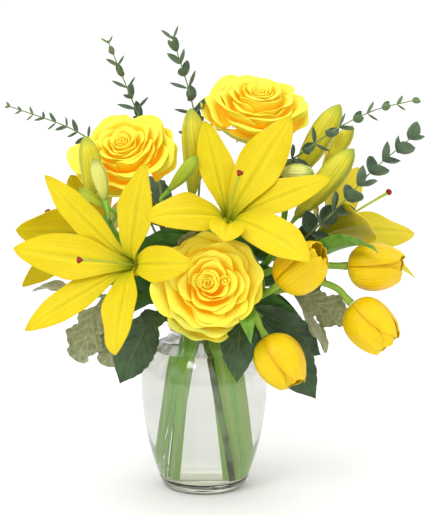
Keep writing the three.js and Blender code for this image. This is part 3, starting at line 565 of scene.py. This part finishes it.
def tepal(azimuth, opening, share, curl, wide, start, draw):
    """The shape of a lily tepal, and its turn round the bloom. It is channelled along its middle, with
    a waved edge, a slight twist and a blunt point."""
    phase, waves, twist = draw.uniform(0, 6.28), draw.uniform(11, 15), draw.uniform(-0.14, 0.14)
    opening, curl = radians(opening), radians(curl)

    def half_width(t, s):
        body = 0.16 + 0.84 * smoothstep(t, 0, 0.55)
        taper = 1 - np.clip((t - 0.45) / 0.55, 0, 1) ** 2.4
        end = np.sqrt(np.clip(1 - np.clip((t - 0.94) / 0.06, 0, 1) ** 2, 0, 1))
        notch = 1 + 0.03 * np.sin(waves * t + phase + 1.7 * np.sign(s)) * smoothstep(t, 0.3, 0.5)
        return wide * body * (0.09 + 0.91 * taper) * end * notch

    def lift(t, s):
        off = np.abs(s)
        cup = lerp(0.35, -0.06, smoothstep(t, 0.1, 0.8)) * s * s + twist * s * t
        groove = 0.05 * ridge(off - 0.24, 0.1) - 0.1 * ridge(s, 0.1)
        wave = 0.1 * np.sin(waves * t + phase + 1.7 * np.sign(s)) * off**4 * smoothstep(t, 0.25, 0.6)
        keel = 0.2 * (off - 0.5) * smoothstep(t, 0.8, 1)
        return cup + groove * (1 - 0.8 * t) + wave + keel

    def lean(t):
        return lerp(radians(8), opening, smoothstep(t, 0, 0.3)) + curl * t * t

    turn = turned(radians(azimuth)) @ Matrix.Translation((0, 0, 4 * MM))
    return ribbed(TEPAL["length"] * share, lean, half_width, lift, start), turn


def lily_bloom(name, seat, axis, tepals, seed, backs):
    """Six tepals round a small cup. backs is 1 where the bloom shows mostly its olive backs."""
    draw = random.Random(seed)
    place_at = standing(seat, axis)
    pieces = []
    for k, (azimuth, opening, share, curl) in enumerate(tepals):
        wide, start = (TEPAL["outer"], 7 * MM) if k % 2 else (TEPAL["inner"], 3.5 * MM)
        place, turn = tepal(azimuth, opening, share, curl, wide, start, draw)
        pieces.append(sheet(48, 24, place, place_at @ turn, 0.5 * (k % 2) + backs))
    petals = thickened(joined(name, *pieces), PETAL)
    cup = round_body([(0, 0), (4.2, 0), (7, 3), (10, 8.5), (6, 9), (0, 8.2)], 20, 24, place_at)
    return joined(name, petals, cup)


def pistil(name, seat, axis):
    """A style that bends over to one side, with a three-lobed stigma on its end."""
    place_at = standing(seat, axis)
    length, radius, stigma = STYLE["length"], STYLE["radius"], STYLE["stigma"]
    t = np.linspace(0, 1, 24)[:, None]
    foot, bend, head = (np.array(p) * MM for p in ((0, 0, 8.3), (0, 0, 56.4), (3, -5, 94)))
    line = moved((1 - t) ** 2 * foot + 2 * (1 - t) * t * bend + t * t * head, place_at)

    def lobes(t, s):
        r = stigma * np.sin(pi * t) * (0.86 + 0.16 * np.cos(3 * pi * s))
        z = -stigma * 0.8 * np.cos(pi * t)
        return r * np.cos(pi * s) + 3 * MM, r * np.sin(pi * s) - 5 * MM, z + length + 1 * MM

    style = tube(line, lambda t: radius * (0.85 + 0.35 * smoothstep(t, 0.75, 1)), sides=10)
    finished(joined(name + "_style", style), "style", "pistil", name + "_pistil")
    head = closed_up(sheet(12, 24, lobes, place_at), ROUND)
    finished(joined(name + "_stigma", head), "stigma", "pistil", name + "_pistil")


BUD_HEIGHTS = [0, 0.06, 0.18, 0.34, 0.5, 0.66, 0.8, 0.9, 0.96, 1]  # as shares of its length
BUD_WIDTHS = [0.3, 0.42, 0.62, 0.85, 0.97, 1, 0.86, 0.6, 0.36, 0.07]  # as shares of its radius


def lily_bud(name, seat, tip, radius, green):
    """A closed bud of three tepals that meet in furrows, slender at the foot and blunt at the tip."""
    seat, tip = metres(seat), metres(tip)
    length = (tip - seat).length
    ruffle = 0.35 if name.endswith("short") else 0

    def place(t, s):
        r = radius * MM * np.interp(t, BUD_HEIGHTS, BUD_WIDTHS)
        wall = pi * s
        furrow = ridge((s * 1.5 + 0.75) % 1 - 0.5, 0.09) * smoothstep(t, 0.05, 0.3)
        ribs = 0.07 * np.cos(3 * wall) + 0.03 * np.cos(12 * wall)
        r = r * (1 + ribs - 0.2 * furrow * (1 - 0.5 * t))
        r = r * (1 + ruffle * smoothstep(t, 0.75, 1) * (0.5 + 0.5 * np.sin(9 * wall)))
        bend = 0.03 * length * np.sin(pi * t)
        return r * np.cos(wall) + bend, r * np.sin(wall), length * t

    body = closed_up(sheet(30, 36, place, standing(seat, tip - seat), green), ROUND)
    finished(joined(name + "_closed", body), "lily_bud", "lily_bud", name)


def blade(length, width, arch, outline, lift, bend=1):
    """A leaf that arches over by arch degrees, more towards its tip where bend is above 1."""
    return ribbed(length * MM, lambda t: radians(arch) * t**bend,
                  lambda t, s: width / 2 * MM * outline(t, s), lift)


def strap_leaf(*size):
    """Narrow channelled blade with a fine point, as on a tulip."""
    return blade(
        *size,
        lambda t, s: (0.25 + 0.75 * np.sin(pi * t**0.7) ** 0.8) * np.clip(1 - t**7, 0.02, 1),
        lambda t, s: 0.35 * s * s - 0.06 * ridge(s, 0.12) + 0.06 * np.sin(9 * t) * s,
        1.3)


def broad_leaf(*size):
    """Broad blade with a toothed, gently waved edge."""
    return blade(
        *size,
        lambda t, s: (0.1 + 0.9 * np.sin(pi * t**0.85) ** 0.75)
        * (1 + 0.07 * np.abs(s) ** 6 * np.abs(np.sin(pi * 9 * t)) - 0.02)
        * np.clip(1 - 0.9 * t**10, 0.05, 1),
        lambda t, s: 0.18 * s * s - 0.05 * ridge(s, 0.08) + 0.07 * np.sin(16 * t + 2 * s) * s * s
        + 0.03 * np.cos(pi * 2 * (7 * t - 2.2 * np.abs(s))) * np.abs(s))


def lobed_leaf(*size):
    """Silvery blade cut into rounded lobes that widen towards its end."""
    return blade(
        *size,
        lambda t, s: (0.12 + 0.88 * smoothstep(t, 0.05, 0.5))
        * (1 + (0.2 * np.cos(6 * pi * t) + 0.06 * np.cos(18 * pi * t)) * s * s)
        * np.sqrt(np.clip(1 - t**7, 0.0025, 1)),
        lambda t, s: (0.1 + 0.1 * np.sin(9 * t)) * s * s - 0.05 * ridge(s, 0.1)
        + 0.08 * np.sin(14 * t + 3 * s) * s * s
        + 0.03 * np.cos(pi * 2 * (5 * t - 1.6 * np.abs(s))) * np.abs(s))


def leaves_of(name, line, leaves, shape, rows, columns):
    """The leaves of one stem, each leaving from its point on the stem's line."""
    blades = []
    for share, axis, side, *size in leaves:
        origin, _ = point_on(line, share)
        at = leaving(origin, axis, side)
        blades.append(sheet(rows, columns, shape(*size), at, tone=len(blades) / 4))
    return thickened(joined(name, *blades))


def eucalyptus_leaves(name, line, pairs, start, leaf, tip, tilt, seed):
    """Leaves in pairs, each pair square to the last and smaller towards the tip of the spray, where
    tip is what is left of their size."""
    draw = random.Random(seed)
    length, width = (size * MM for size in leaf)

    def place(t, s):
        wide = width / 2 * np.sin(pi * np.clip(t, 0.02, 1) ** 0.8) ** 0.62
        cup = 0.25 * width * (s * s - 0.4) * np.sin(pi * t) - 0.04 * length * np.sin(pi * t)
        return 0.8 * MM + t * length, s * wide, cup

    pattern = sheet(6, 4, place)
    blades = []
    for k in range(pairs):
        share = k / (pairs - 1)
        point, along = point_on(line, lerp(start, 0.992, share))
        for half in (0, pi):
            turn = half + (k % 2) * pi / 2 + draw.uniform(-0.35, 0.35) + radians(25)
            lean = -radians(tilt + draw.uniform(-12, 12) + 25 * share)
            at = standing(point, along) @ turned(turn) @ turned(lean, "Y")
            at = at @ turned(draw.uniform(-0.3, 0.3), "X") @ Matrix.Scale(lerp(1, tip, share**2), 4)
            blade = placed(name, pattern.data.copy())
            blade.data.transform(at)
            tone = (1.4 - 1.4 * tip) * share**3 + draw.uniform(0, 0.15)
            tones = blade.data.attributes["tone"].data
            tones.foreach_set("value", np.full(len(tones), tone))
            blades.append(blade)
    bpy.data.objects.remove(pattern)
    return thickened(joined(name, *blades), 0.5 * MM)


# ---- materials

FINISHES = {}  # by the names given here, as the part's solids have materials of the same names


class Value:
    """A number socket in a material. Sums on it add their Math nodes."""

    def __init__(self, finish, socket):
        self.finish, self.socket = finish, socket

    def maths(self, operation, *others, clamp=False):
        settings = {"operation": operation, "use_clamp": clamp}
        node = self.finish.node("Math", settings, dict(enumerate((self, *others))))
        return Value(self.finish, node.outputs[0])

    __add__ = __radd__ = lambda self, other: self.maths("ADD", other)
    __mul__ = __rmul__ = lambda self, other: self.maths("MULTIPLY", other)
    __sub__ = lambda self, other: self.maths("SUBTRACT", other)
    __rsub__ = lambda self, other: self * -1 + other
    __pow__ = lambda self, other: self.maths("POWER", other)

    def near(self, middle, width):
        """1 at middle, falling smoothly to 0 at that distance from it."""
        away = (self - middle).maths("ABSOLUTE") * (1 / width)
        return (1 - away).maths("MAXIMUM", 0) ** 2

    def ramp(self, low, high):
        """0 below low and 1 above high."""
        return ((self - low) * (1 / (high - low))).maths("ADD", 0, clamp=True)

    def sine(self):
        return self.maths("SINE")


class Finish:
    """A material in the making: its shader, and one method that adds any other node."""

    def __init__(self, name, **fixed):
        self.material = FINISHES[name] = bpy.data.materials.new(name)
        self.material.use_nodes = True
        self.tree = self.material.node_tree
        self.shader = self.tree.nodes["Principled BSDF"]
        for socket, value in fixed.items():
            self.feed(self.shader, socket.replace("_", " "), value)

    def feed(self, node, socket, value):
        target = node.inputs[socket]
        if isinstance(value, Value):
            value = value.socket
        if isinstance(value, bpy.types.NodeSocket):
            self.tree.links.new(value, target)
        elif isinstance(value, tuple) and len(value) == 3 and target.type == "RGBA":
            target.default_value = (*value, 1)
        else:
            target.default_value = value

    def node(self, kind, settings=None, inputs=None):
        node = self.tree.nodes.new("ShaderNode" + kind)
        for name, value in (settings or {}).items():
            setattr(node, name, value)
        for socket, value in (inputs or {}).items():
            self.feed(node, socket, value)
        return node

    def along(self):
        """How far along a petal or leaf, from 0 at its root to 1 at its tip, and across, from -1 to 1."""
        place = self.node("SeparateXYZ", None, {0: self.node("UVMap").outputs[0]})
        return Value(self, place.outputs[1]), Value(self, place.outputs[0]) * 2 - 1

    def tone(self):
        return Value(self, self.node("Attribute", {"attribute_name": "tone"}).outputs["Fac"])

    def mix(self, share, a, b):
        """The colour a share of the way from a to b."""
        return self.node("Mix", {"data_type": "RGBA"}, {0: share, 6: a, 7: b}).outputs[2]

    def layered(self, colour, *coats):
        """A colour with coats laid over it in turn, each by its own share."""
        for share, coat in coats:
            colour = self.mix(share, colour, coat)
        return colour

    def height(self):
        place = self.node("SeparateXYZ", None, {0: self.node("TexCoord").outputs["Object"]})
        return Value(self, place.outputs[2])

    def noise(self, scale, detail=3.0, stretch=(1, 1, 1)):
        place = self.node("TexCoord").outputs["Object"]
        if stretch != (1, 1, 1):
            place = self.node("Mapping", None, {0: place, 3: stretch}).outputs[0]
        made = self.node("TexNoise", None, {"Vector": place, "Scale": scale, "Detail": detail})
        return Value(self, made.outputs[0])

    def done(self, colour, roughness, height=None, depth=0.0003):
        self.feed(self.shader, "Base Color", colour)
        self.feed(self.shader, "Roughness", roughness)
        if height is not None:
            bump = self.node("Bump", None, {"Height": height, "Distance": depth})
            self.feed(self.shader, "Normal", bump.outputs[0])
        return self.material


def petal_finish(name, grain, count, **fixed):
    """A finish with what petals need: the measures along and across, noise, and fine lines along the
    petal that fan out and waver a little."""
    finish = Finish(name, **fixed)
    along, across = finish.along()
    noise = finish.noise(grain)
    lines = (across * count + noise * 5 + along * 2).sine() * 0.5 + 0.5
    return finish, along, across, noise, lines


def translucent(weight, radius, shine):
    return {"Subsurface_Weight": weight, "Subsurface_Radius": radius, "Subsurface_Scale": 0.5,
            "Specular_IOR_Level": shine}


def lily_finish():
    """Lemon, lighter on its ridges, with olive in the throat and along the rib and backs."""
    finish, along, across, noise, lines = petal_finish(
        "lily_petal", 45, 34, **translucent(0.12, (0.004, 0.002, 0.0005), 0.2))
    off = across.maths("ABSOLUTE")
    throat = (1 - along.ramp(0.03, 0.34)) ** 1.5
    streaks = (1 - along.ramp(0.1, 0.5)) * (across * 17).sine().ramp(0.2, 1.0)
    back = finish.tone().ramp(0.9, 1.0) * (1 - along.ramp(0.2, 1.0))
    colour = finish.layered(
        (0.70, 0.545, 0.002),
        (noise.ramp(0.3, 0.75), (0.755, 0.615, 0.004)),
        (lines * 0.12, (0.62, 0.45, 0.003)),
        (off.near(0.24, 0.16) * 0.35, (0.82, 0.71, 0.012)),
        (across.near(0, 0.13) * (1 - along.ramp(0.5, 1.0)) * 0.6, (0.45, 0.46, 0.02)),
        (off.ramp(0.86, 1.0) * 0.3, (0.66, 0.45, 0.004)),
        (back * 0.55, (0.36, 0.37, 0.02)),
        (throat * 0.9, (0.22, 0.36, 0.02)),
        (streaks * 0.4, (0.40, 0.46, 0.02)))
    return finish.done(colour, 0.45 + noise * 0.12, lines * 0.5 + noise * 0.5, 0.0003)


def rose_finish():
    """Lemon on the rolled lips, golden in the bands and orange in the depths, greenish outermost. The
    orange towards the petal roots is partly the rose's own colour and partly painted shade of the depths.
    A faint painted glow (emission), warmer in the depths, stands in for the light that thin petals let
    through."""
    finish, along, _, noise, lines = petal_finish(
        "rose_petal", 60, 26, Emission_Strength=0.17, Specular_IOR_Level=0.2)
    tone = finish.tone()
    # depth is 1 towards the petal roots; it carries the painted shade and the painted glow of the depths
    depth = 1 - along.ramp(0.3, 0.8)
    colour = finish.layered(
        (0.88, 0.78, 0.05),
        (noise.ramp(0.3, 0.75), (0.92, 0.85, 0.11)),
        (tone.ramp(0, 1) * 0.35, (0.94, 0.66, 0.03)),
        # painted shade: deeper golden and orange towards the petal roots, partly the rose's own colour
        (depth * 0.8, (0.94, 0.67, 0.012)),
        ((1 - along.ramp(0.15, 0.5)) * 0.8, (0.95, 0.50, 0.006)),
        ((tone * -1).ramp(0.2, 1.1) * noise.ramp(0.25, 0.6), (0.50, 0.56, 0.10)),
        (lines * 0.06, (0.90, 0.62, 0.03)))
    # painted glow: emission that stands in for light let through the thin petals, warmer towards the roots
    painted_glow = finish.mix(depth, (0.30, 0.24, 0.01), (0.95, 0.56, 0.01))
    finish.feed(finish.shader, "Emission Color", painted_glow)
    return finish.done(colour, 0.55 + noise * 0.14, lines * 0.4 + noise * 0.6, 0.0002)


def tulip_finish():
    """Golden yellow, deeper along its edges and rib, greenish at the foot."""
    finish, along, across, noise, lines = petal_finish(
        "tulip_petal", 50, 40, **translucent(0.1, (0.004, 0.002, 0.0004), 0.25))
    colour = finish.layered(
        (0.85, 0.56, 0.002),
        (noise.ramp(0.3, 0.75), (0.92, 0.67, 0.003)),
        (lines * 0.2, (0.76, 0.44, 0.002)),
        (across.maths("ABSOLUTE").ramp(0.72, 1.0) * 0.45, (0.78, 0.40, 0.002)),
        (across.near(0, 0.1) * 0.4, (0.86, 0.50, 0.004)),
        ((1 - along.ramp(0.0, 0.16)) * 0.5, (0.62, 0.55, 0.02)))
    return finish.done(colour, 0.36 + noise * 0.14, lines, 0.0002)


def bud_finish():
    """Yellow to green by its tone, and paler where that is below 0; green along the furrows and ends."""
    finish, along, across, noise, lines = petal_finish(
        "lily_bud", 50, 60, **translucent(0.12, (0.004, 0.003, 0.001), 0.4))
    tone = finish.tone()
    furrows = (across * (3 * pi)).maths("COSINE") * 0.5 + 0.5
    colour = finish.layered(
        (0.72, 0.60, 0.010),
        (noise.ramp(0.3, 0.75), (0.80, 0.69, 0.025)),
        ((tone * -1).ramp(0, 1), (0.70, 0.74, 0.22)),
        (furrows ** 6 * 0.7, (0.30, 0.31, 0.015)),
        (tone.ramp(0, 1) * 0.85, (0.33, 0.50, 0.03)),
        (along.ramp(0.84, 1.0) * 0.7, (0.20, 0.38, 0.03)),
        ((1 - along.ramp(0.0, 0.28)) * 0.6, (0.26, 0.42, 0.05)),
        (lines * 0.15, (0.36, 0.38, 0.02)))
    return finish.done(colour, 0.4 + noise * 0.14, lines, 0.0003)


def stem_finish(name, light, dark, blush=None):
    """A fresh stem: fine ribs along it and patches of another colour where it has a blush. In the
    water, fading out above it, its colour is painted lighter, and without a blush it gets a faint painted
    glow there: painted light that stands in for the light falling in all round."""
    finish = Finish(name, Specular_IOR_Level=0.4, Emission_Strength=0 if blush else 0.3)
    _, across = finish.along()
    noise = finish.noise(70)
    # painted light: 1 in the water, fading out above it, where the stem is painted lighter and given a glow
    painted_light_in_vase = 1 - finish.height().ramp(WATER_LEVEL, NECK_HEIGHT + 20 * MM)
    ribs = (across * 22).sine() * 0.5 + 0.5
    colour = finish.layered(
        light,
        (noise.ramp(0.3, 0.7), dark),
        (painted_light_in_vase * 0.8, tuple(min(0.2 + 1.6 * level, 0.9) for level in light)),
        (ribs * 0.2, dark))
    if blush:
        colour = finish.mix(finish.noise(18).ramp(0.4, 0.55) * 0.85, colour, blush)
    else:
        # painted glow in the water, stronger along the ribs
        painted_glow = finish.mix(painted_light_in_vase * (0.15 + ribs * 0.5) + painted_light_in_vase * noise * 0.5, (0, 0, 0), (0.36, 0.72, 0.10))
        finish.feed(finish.shader, "Emission Color", painted_glow)
    return finish.done(colour, 0.4 + noise * 0.15, ribs * 0.5 + noise * 0.5, 0.0003)


def leaf_finish(name, light, dark, vein, count, slope, roughness, side_veins, sheen=0.0, grain=90):
    """A leaf with a pale midrib and side veins that leave it at a slope."""
    finish = Finish(name, Sheen_Weight=sheen, Specular_IOR_Level=0.35)
    along, across = finish.along()
    noise = finish.noise(grain, 5)
    off = across.maths("ABSOLUTE")
    branch = ((along * count - off * slope + noise * 0.25) * FULL).sine()
    branch = branch.ramp(0.8, 1.0) * (1 - off.ramp(0.75, 1.0))
    rib = across.near(0, 0.09)
    colour = finish.layered(dark, (noise.ramp(0.3, 0.7), light), (branch * side_veins, vein),
                            (rib * 0.75, vein))
    return finish.done(colour, roughness + noise * 0.15, noise * 0.5 - branch * 0.6 - rib, 0.0005)


def eucalyptus_finish():
    """Dusty green, yellower where its tone is higher, with a faint rib."""
    finish = Finish("eucalyptus_leaf", Sheen_Weight=0.15, Specular_IOR_Level=0.3)
    _, across = finish.along()
    noise = finish.noise(120)
    colour = finish.layered(
        (0.04, 0.075, 0.045),
        (noise.ramp(0.3, 0.7), (0.09, 0.15, 0.09)),
        (finish.tone() * 0.7, (0.22, 0.33, 0.11)),
        (across.near(0, 0.2) * 0.3, (0.20, 0.29, 0.13)))
    return finish.done(colour, 0.55 + noise * 0.2, noise, 0.0002)


def stigma_finish():
    finish = Finish("stigma", Specular_IOR_Level=0.3)
    noise = finish.noise(900)
    colour = finish.mix(noise.ramp(0.35, 0.65), (0.16, 0.012, 0.006), (0.42, 0.035, 0.012))
    return finish.done(colour, 0.6 + noise * 0.2, noise, 0.0004)


def glass_finish():
    """Clear glass, greyish in the wall and olive in the thick foot, with gently rippled faces."""
    finish = Finish("glass", Transmission_Weight=1.0, IOR=1.5)
    height = finish.height()
    foot = 1 - height.ramp(0.004, 0.03)
    waves = finish.noise(9, 1.0, (1, 1, 3.5))
    ripples = (height * 900 + waves * 9).sine() * foot
    colour = finish.layered((0.79, 0.795, 0.77), (waves.ramp(0.3, 0.7), (0.82, 0.825, 0.80)),
                            (foot, (0.94, 0.94, 0.80)))
    return finish.done(colour, finish.noise(40) * 0.02, waves + ripples * 0.5, 0.0006)


def water_finish():
    finish = Finish("water", Transmission_Weight=1.0, IOR=1.333)
    return finish.done((0.975, 0.98, 0.97), finish.noise(30) * 0.01)


def all_finishes():
    for finish in (lily_finish, rose_finish, tulip_finish, bud_finish, stigma_finish, eucalyptus_finish,
                   glass_finish, water_finish):
        finish()
    for name, light, dark, *blush in (
        ("style", (0.62, 0.66, 0.10), (0.45, 0.55, 0.05)),
        ("lily_stem", (0.28, 0.56, 0.05), (0.15, 0.40, 0.03)),
        ("tulip_stem", (0.36, 0.55, 0.07), (0.22, 0.42, 0.04)),
        ("rose_stem", (0.20, 0.40, 0.05), (0.11, 0.26, 0.03), (0.13, 0.045, 0.03)),
        ("twig", (0.30, 0.40, 0.13), (0.20, 0.29, 0.08)),
        ("broad_stem", (0.20, 0.42, 0.06), (0.10, 0.27, 0.03)),
        ("silver_stem", (0.32, 0.46, 0.18), (0.20, 0.34, 0.10)),
    ):
        stem_finish(name, light, dark, *blush)
    for name, *rest in (
        ("lily_leaf", (0.07, 0.20, 0.03), (0.03, 0.11, 0.02), (0.15, 0.30, 0.06), 3, 0.1, 0.36, 0.1),
        ("tulip_leaf", (0.20, 0.42, 0.05), (0.08, 0.24, 0.03), (0.32, 0.52, 0.10), 3, 0.1, 0.36, 0.1),
        ("silver_leaf", (0.36, 0.37, 0.18), (0.16, 0.19, 0.08), (0.46, 0.47, 0.28), 5, 1.6, 0.72, 0.5, 0.5,
         260),
        ("broad_leaf", (0.06, 0.115, 0.045), (0.022, 0.055, 0.02), (0.15, 0.21, 0.09), 7, 2.2, 0.38, 0.3),
    ):
        leaf_finish(name, *rest)


# ---- the bouquet

def rose(name, seat, axis, seed, ring, turn, way, twin=None):
    seat, axis = metres(seat), direction(axis)
    bloom = rose_bloom(name + "_petals", seat, axis, seed, twin)
    finished(bloom, "rose_petal", "rose_petal", name + "_bloom")
    below = seat - axis * SEAT_GAP
    line = stem_points(ring, turn, [*map(metres, way), below - axis * (6 * MM)])
    place_at = standing(below, axis)
    hip = [(0.5, -12), (3, -11), (4.2, -8.5), (5.6, -5), (6, -2), (5.5, 0), (0.3, 0)]
    parts = [tube(line, RADII["rose"]), round_body(hip, 18, 20, place_at)]
    sepal = ribbed(26 * MM, lambda t: np.radians(lerp(100, 140, t)),
                   lambda t, s: 3.6 * MM * np.clip(1 - t**2.2, 0.02, 1), lambda t, s: 0.3 * s * s, 3 * MM)
    for k in range(5):
        at = place_at @ turned(k * FULL / 5) @ Matrix.Translation((0, 0, -2 * MM))
        parts.append(thickened(sheet(12, 6, sepal, at)))
    finished(joined(name + "_stalk", *parts), "rose_stem", "rose_stem", name + "_stem")


def tulip(name, seat, axis, open, ring, turn, way, leaves):
    seat, axis = metres(seat), direction(axis)
    bloom = tulip_bloom(name + "_petals", seat, axis, open, len(name))
    finished(bloom, "tulip_petal", "tulip_petal", name + "_bloom")
    below = seat - axis * SEAT_GAP
    line = stem_points(ring, turn, [*map(metres, way), below - axis * (9 * MM), below])
    stem = tube(line, lambda t: RADII["tulip"] * (1 + 0.25 * smoothstep(t, 0.97, 1)))
    finished(joined(name + "_stalk", stem), "tulip_stem", "tulip_leaf", name + "_stem")
    if leaves:
        blades = leaves_of(name + "_leaf", line, leaves, strap_leaf, 36, 10)
        finished(blades, "tulip_leaf", "tulip_leaf", name + "_stem")


def lily(name, turn, way, blooms, buds, leaves):
    line = stem_points("middle", turn, map(metres, way))
    parts = [tube(line, lambda t: RADII["lily"] * (1 - 0.25 * smoothstep(t, 0.6, 1)), sides=14)]

    def stalk(joins, seat, axis, radius, knob):
        end = seat - axis * SEAT_GAP
        run = smooth_line([metres(joins), end - axis * (14 * MM), end], 20)
        parts.append(tube(run, lambda t: lerp(radius, knob, smoothstep(t, 0.8, 1))))

    for k, (bloom, seat, axis, joins, tepals) in enumerate(blooms):
        seat, axis = metres(seat), direction(axis)
        stalk(joins, seat, axis, 2.6 * MM, 4.3 * MM)
        petals = lily_bloom(bloom + "_tepals", seat, axis, tepals, len(bloom) + k, int(name == "lily_right"))
        finished(petals, "lily_petal", "lily_petal", bloom)
        pistil(bloom, seat, axis)
    for bud, seat, tip, radius, joins, green in buds:
        stalk(joins, metres(seat), direction(metres(tip) - metres(seat)), 1.8 * MM, 2.9 * MM)
        lily_bud(bud, seat, tip, radius, green)
    finished(joined(name + "_stalks", *parts), "lily_stem", "lily_stem", name + "_stem")
    leaves = [(share, axis, BROADSIDE, *size) for share, axis, *size in leaves]
    blades = leaves_of(name + "_leaves", line, leaves, strap_leaf, 30, 10)
    finished(blades, "lily_leaf", "lily_stem", name + "_stem")


def spray(name, pairs, start, leaf, tip, tilt, turn, way):
    line = stem_points("outer", turn, map(metres, way), 90)
    twig = tube(line, lambda t: RADII["eucalyptus"] * (1 - 0.55 * smoothstep(t, 0.5, 1)), sides=8)
    finished(joined(name + "_twig", twig), "twig", "eucalyptus_leaf", name)
    blades = eucalyptus_leaves(name + "_leaves", line, pairs, start, leaf, tip, tilt, turn)
    finished(blades, "eucalyptus_leaf", "eucalyptus_leaf", name)


def foliage(name, kind, turn, way, leaves):
    line = stem_points("outer", turn, map(metres, way))
    twig = joined(name + "_stalk", tube(line, RADII["leafy"], sides=10))
    finished(twig, kind + "_stem", kind + "_leaf", name)
    shape = lobed_leaf if kind == "silver" else broad_leaf
    finished(leaves_of(name + "_blades", line, leaves, shape, 54, 20), kind + "_leaf", kind + "_leaf", name)


def rounded_wall():
    """The vase's outer wall as a smooth list of (radius, height)."""
    return [(float(r), float(z)) for r, _, z in smooth_line([(r, 0, z) for r, z in VASE_OUTLINE], 60)]


def vase():
    outside = rounded_wall()
    r, z = VASE_OUTLINE[-1]
    rim = [(r - 0.4, z + 1.1), (r - 1.5, z + 1.5), (r - 2.6, z + 1.1)]
    inside = [(r - WALL, max(z, FOOT_TOP)) for r, z in reversed(outside) if z > FOOT_TOP]
    foot = [(0, 1.2), (24, 1.2), (30, 0), (36, 0), (40, 2.2), (43, 5.5)]
    well = [(38.5, FLOOR + 0.8), (30, FLOOR), (0, FLOOR)]
    finished(revolved("vase_glass", [*foot, *outside, *rim, *inside, *well]), "glass", "glass", "vase")


def water():
    """The water reaches a hair into the glass, so that no film of air shows between them."""
    hair, level = 0.1, WATER_LEVEL / MM
    side = [(r - WALL + hair, max(z, FOOT_TOP)) for r, z in rounded_wall() if FOOT_TOP < z < level]
    foot = [(0, FLOOR - hair), (30, FLOOR - hair), (38.5, FLOOR + 0.8 - hair)]
    edge = side[-1][0] - 1
    top = [(edge, level + 1), (edge - 1.5, level + 0.2), (edge - 4, level), (0, level)]
    finished(revolved("water_body", [*foot, *side, *top]), "water", "water", "water")


# ---- floor, light and camera

SKY = {"From Min": 0.0, "From Max": 0.45, "To Min": 0.5, "To Max": 1.2}  # brighter overhead
MIDDLE = Vector((0.0085, 0, 0.235))
SENSOR, DISTANCE, RISE = 36, 2.0, radians(10.5)
PICTURE_HEIGHT = 0.515  # what the picture shows from top to bottom at the bouquet, in metres


def aimed(name, data, place, target):
    piece = placed(name, data)
    piece.location = place
    piece.rotation_euler = (target - piece.location).to_track_quat("-Z", "Y").to_euler()
    return piece


def studio():
    bpy.ops.mesh.primitive_circle_add(vertices=64, radius=20, fill_type="NGON")
    floor = bpy.context.object
    floor.name = "floor"
    finish = Finish("studio_floor")
    noise = finish.noise(3)
    colour = finish.mix(noise, (0.93, 0.93, 0.93), (0.95, 0.95, 0.95))
    floor.data.materials.append(finish.done(colour, 0.8 + noise * 0.1))

    world = bpy.data.worlds.new("studio")
    world.use_nodes = True
    nodes, links = world.node_tree.nodes, world.node_tree.links
    height, sky = nodes.new("ShaderNodeSeparateXYZ"), nodes.new("ShaderNodeMapRange")
    sky.interpolation_type = "SMOOTHSTEP"
    for socket, value in SKY.items():
        sky.inputs[socket].default_value = value
    links.new(nodes.new("ShaderNodeTexCoord").outputs["Generated"], height.inputs[0])
    links.new(height.outputs["Z"], sky.inputs["Value"])
    links.new(sky.outputs[0], nodes["Background"].inputs["Strength"])
    nodes["Background"].inputs["Color"].default_value = (1, 1, 1, 1)
    bpy.context.scene.world = world

    for name, place, size, power in (("key", (-0.9, -1.5, 1.9), 0.9, 16), ("top", (0.3, 0.6, 2.0), 1.2, 5)):
        lamp = bpy.data.lights.new(name, "AREA")
        lamp.size, lamp.energy = size, power
        aimed(name, lamp, place, Vector((0, 0, 0.25)))


def camera():
    lens = bpy.data.cameras.new("camera")
    lens.sensor_width = SENSOR
    lens.lens = SENSOR * DISTANCE / PICTURE_HEIGHT
    place = MIDDLE + DISTANCE * Vector((0, -cos(RISE), sin(RISE)))
    bpy.context.scene.camera = aimed("camera", lens, place, MIDDLE)


camera()
studio()
all_finishes()
for made, plants in ((rose, ROSES), (tulip, TULIPS), (lily, LILIES), (spray, SPRAYS), (foliage, FOLIAGE)):
    for plant in plants:
        made(**plant)
vase()
water()
bpy.context.scene.view_settings.view_transform = "Standard"
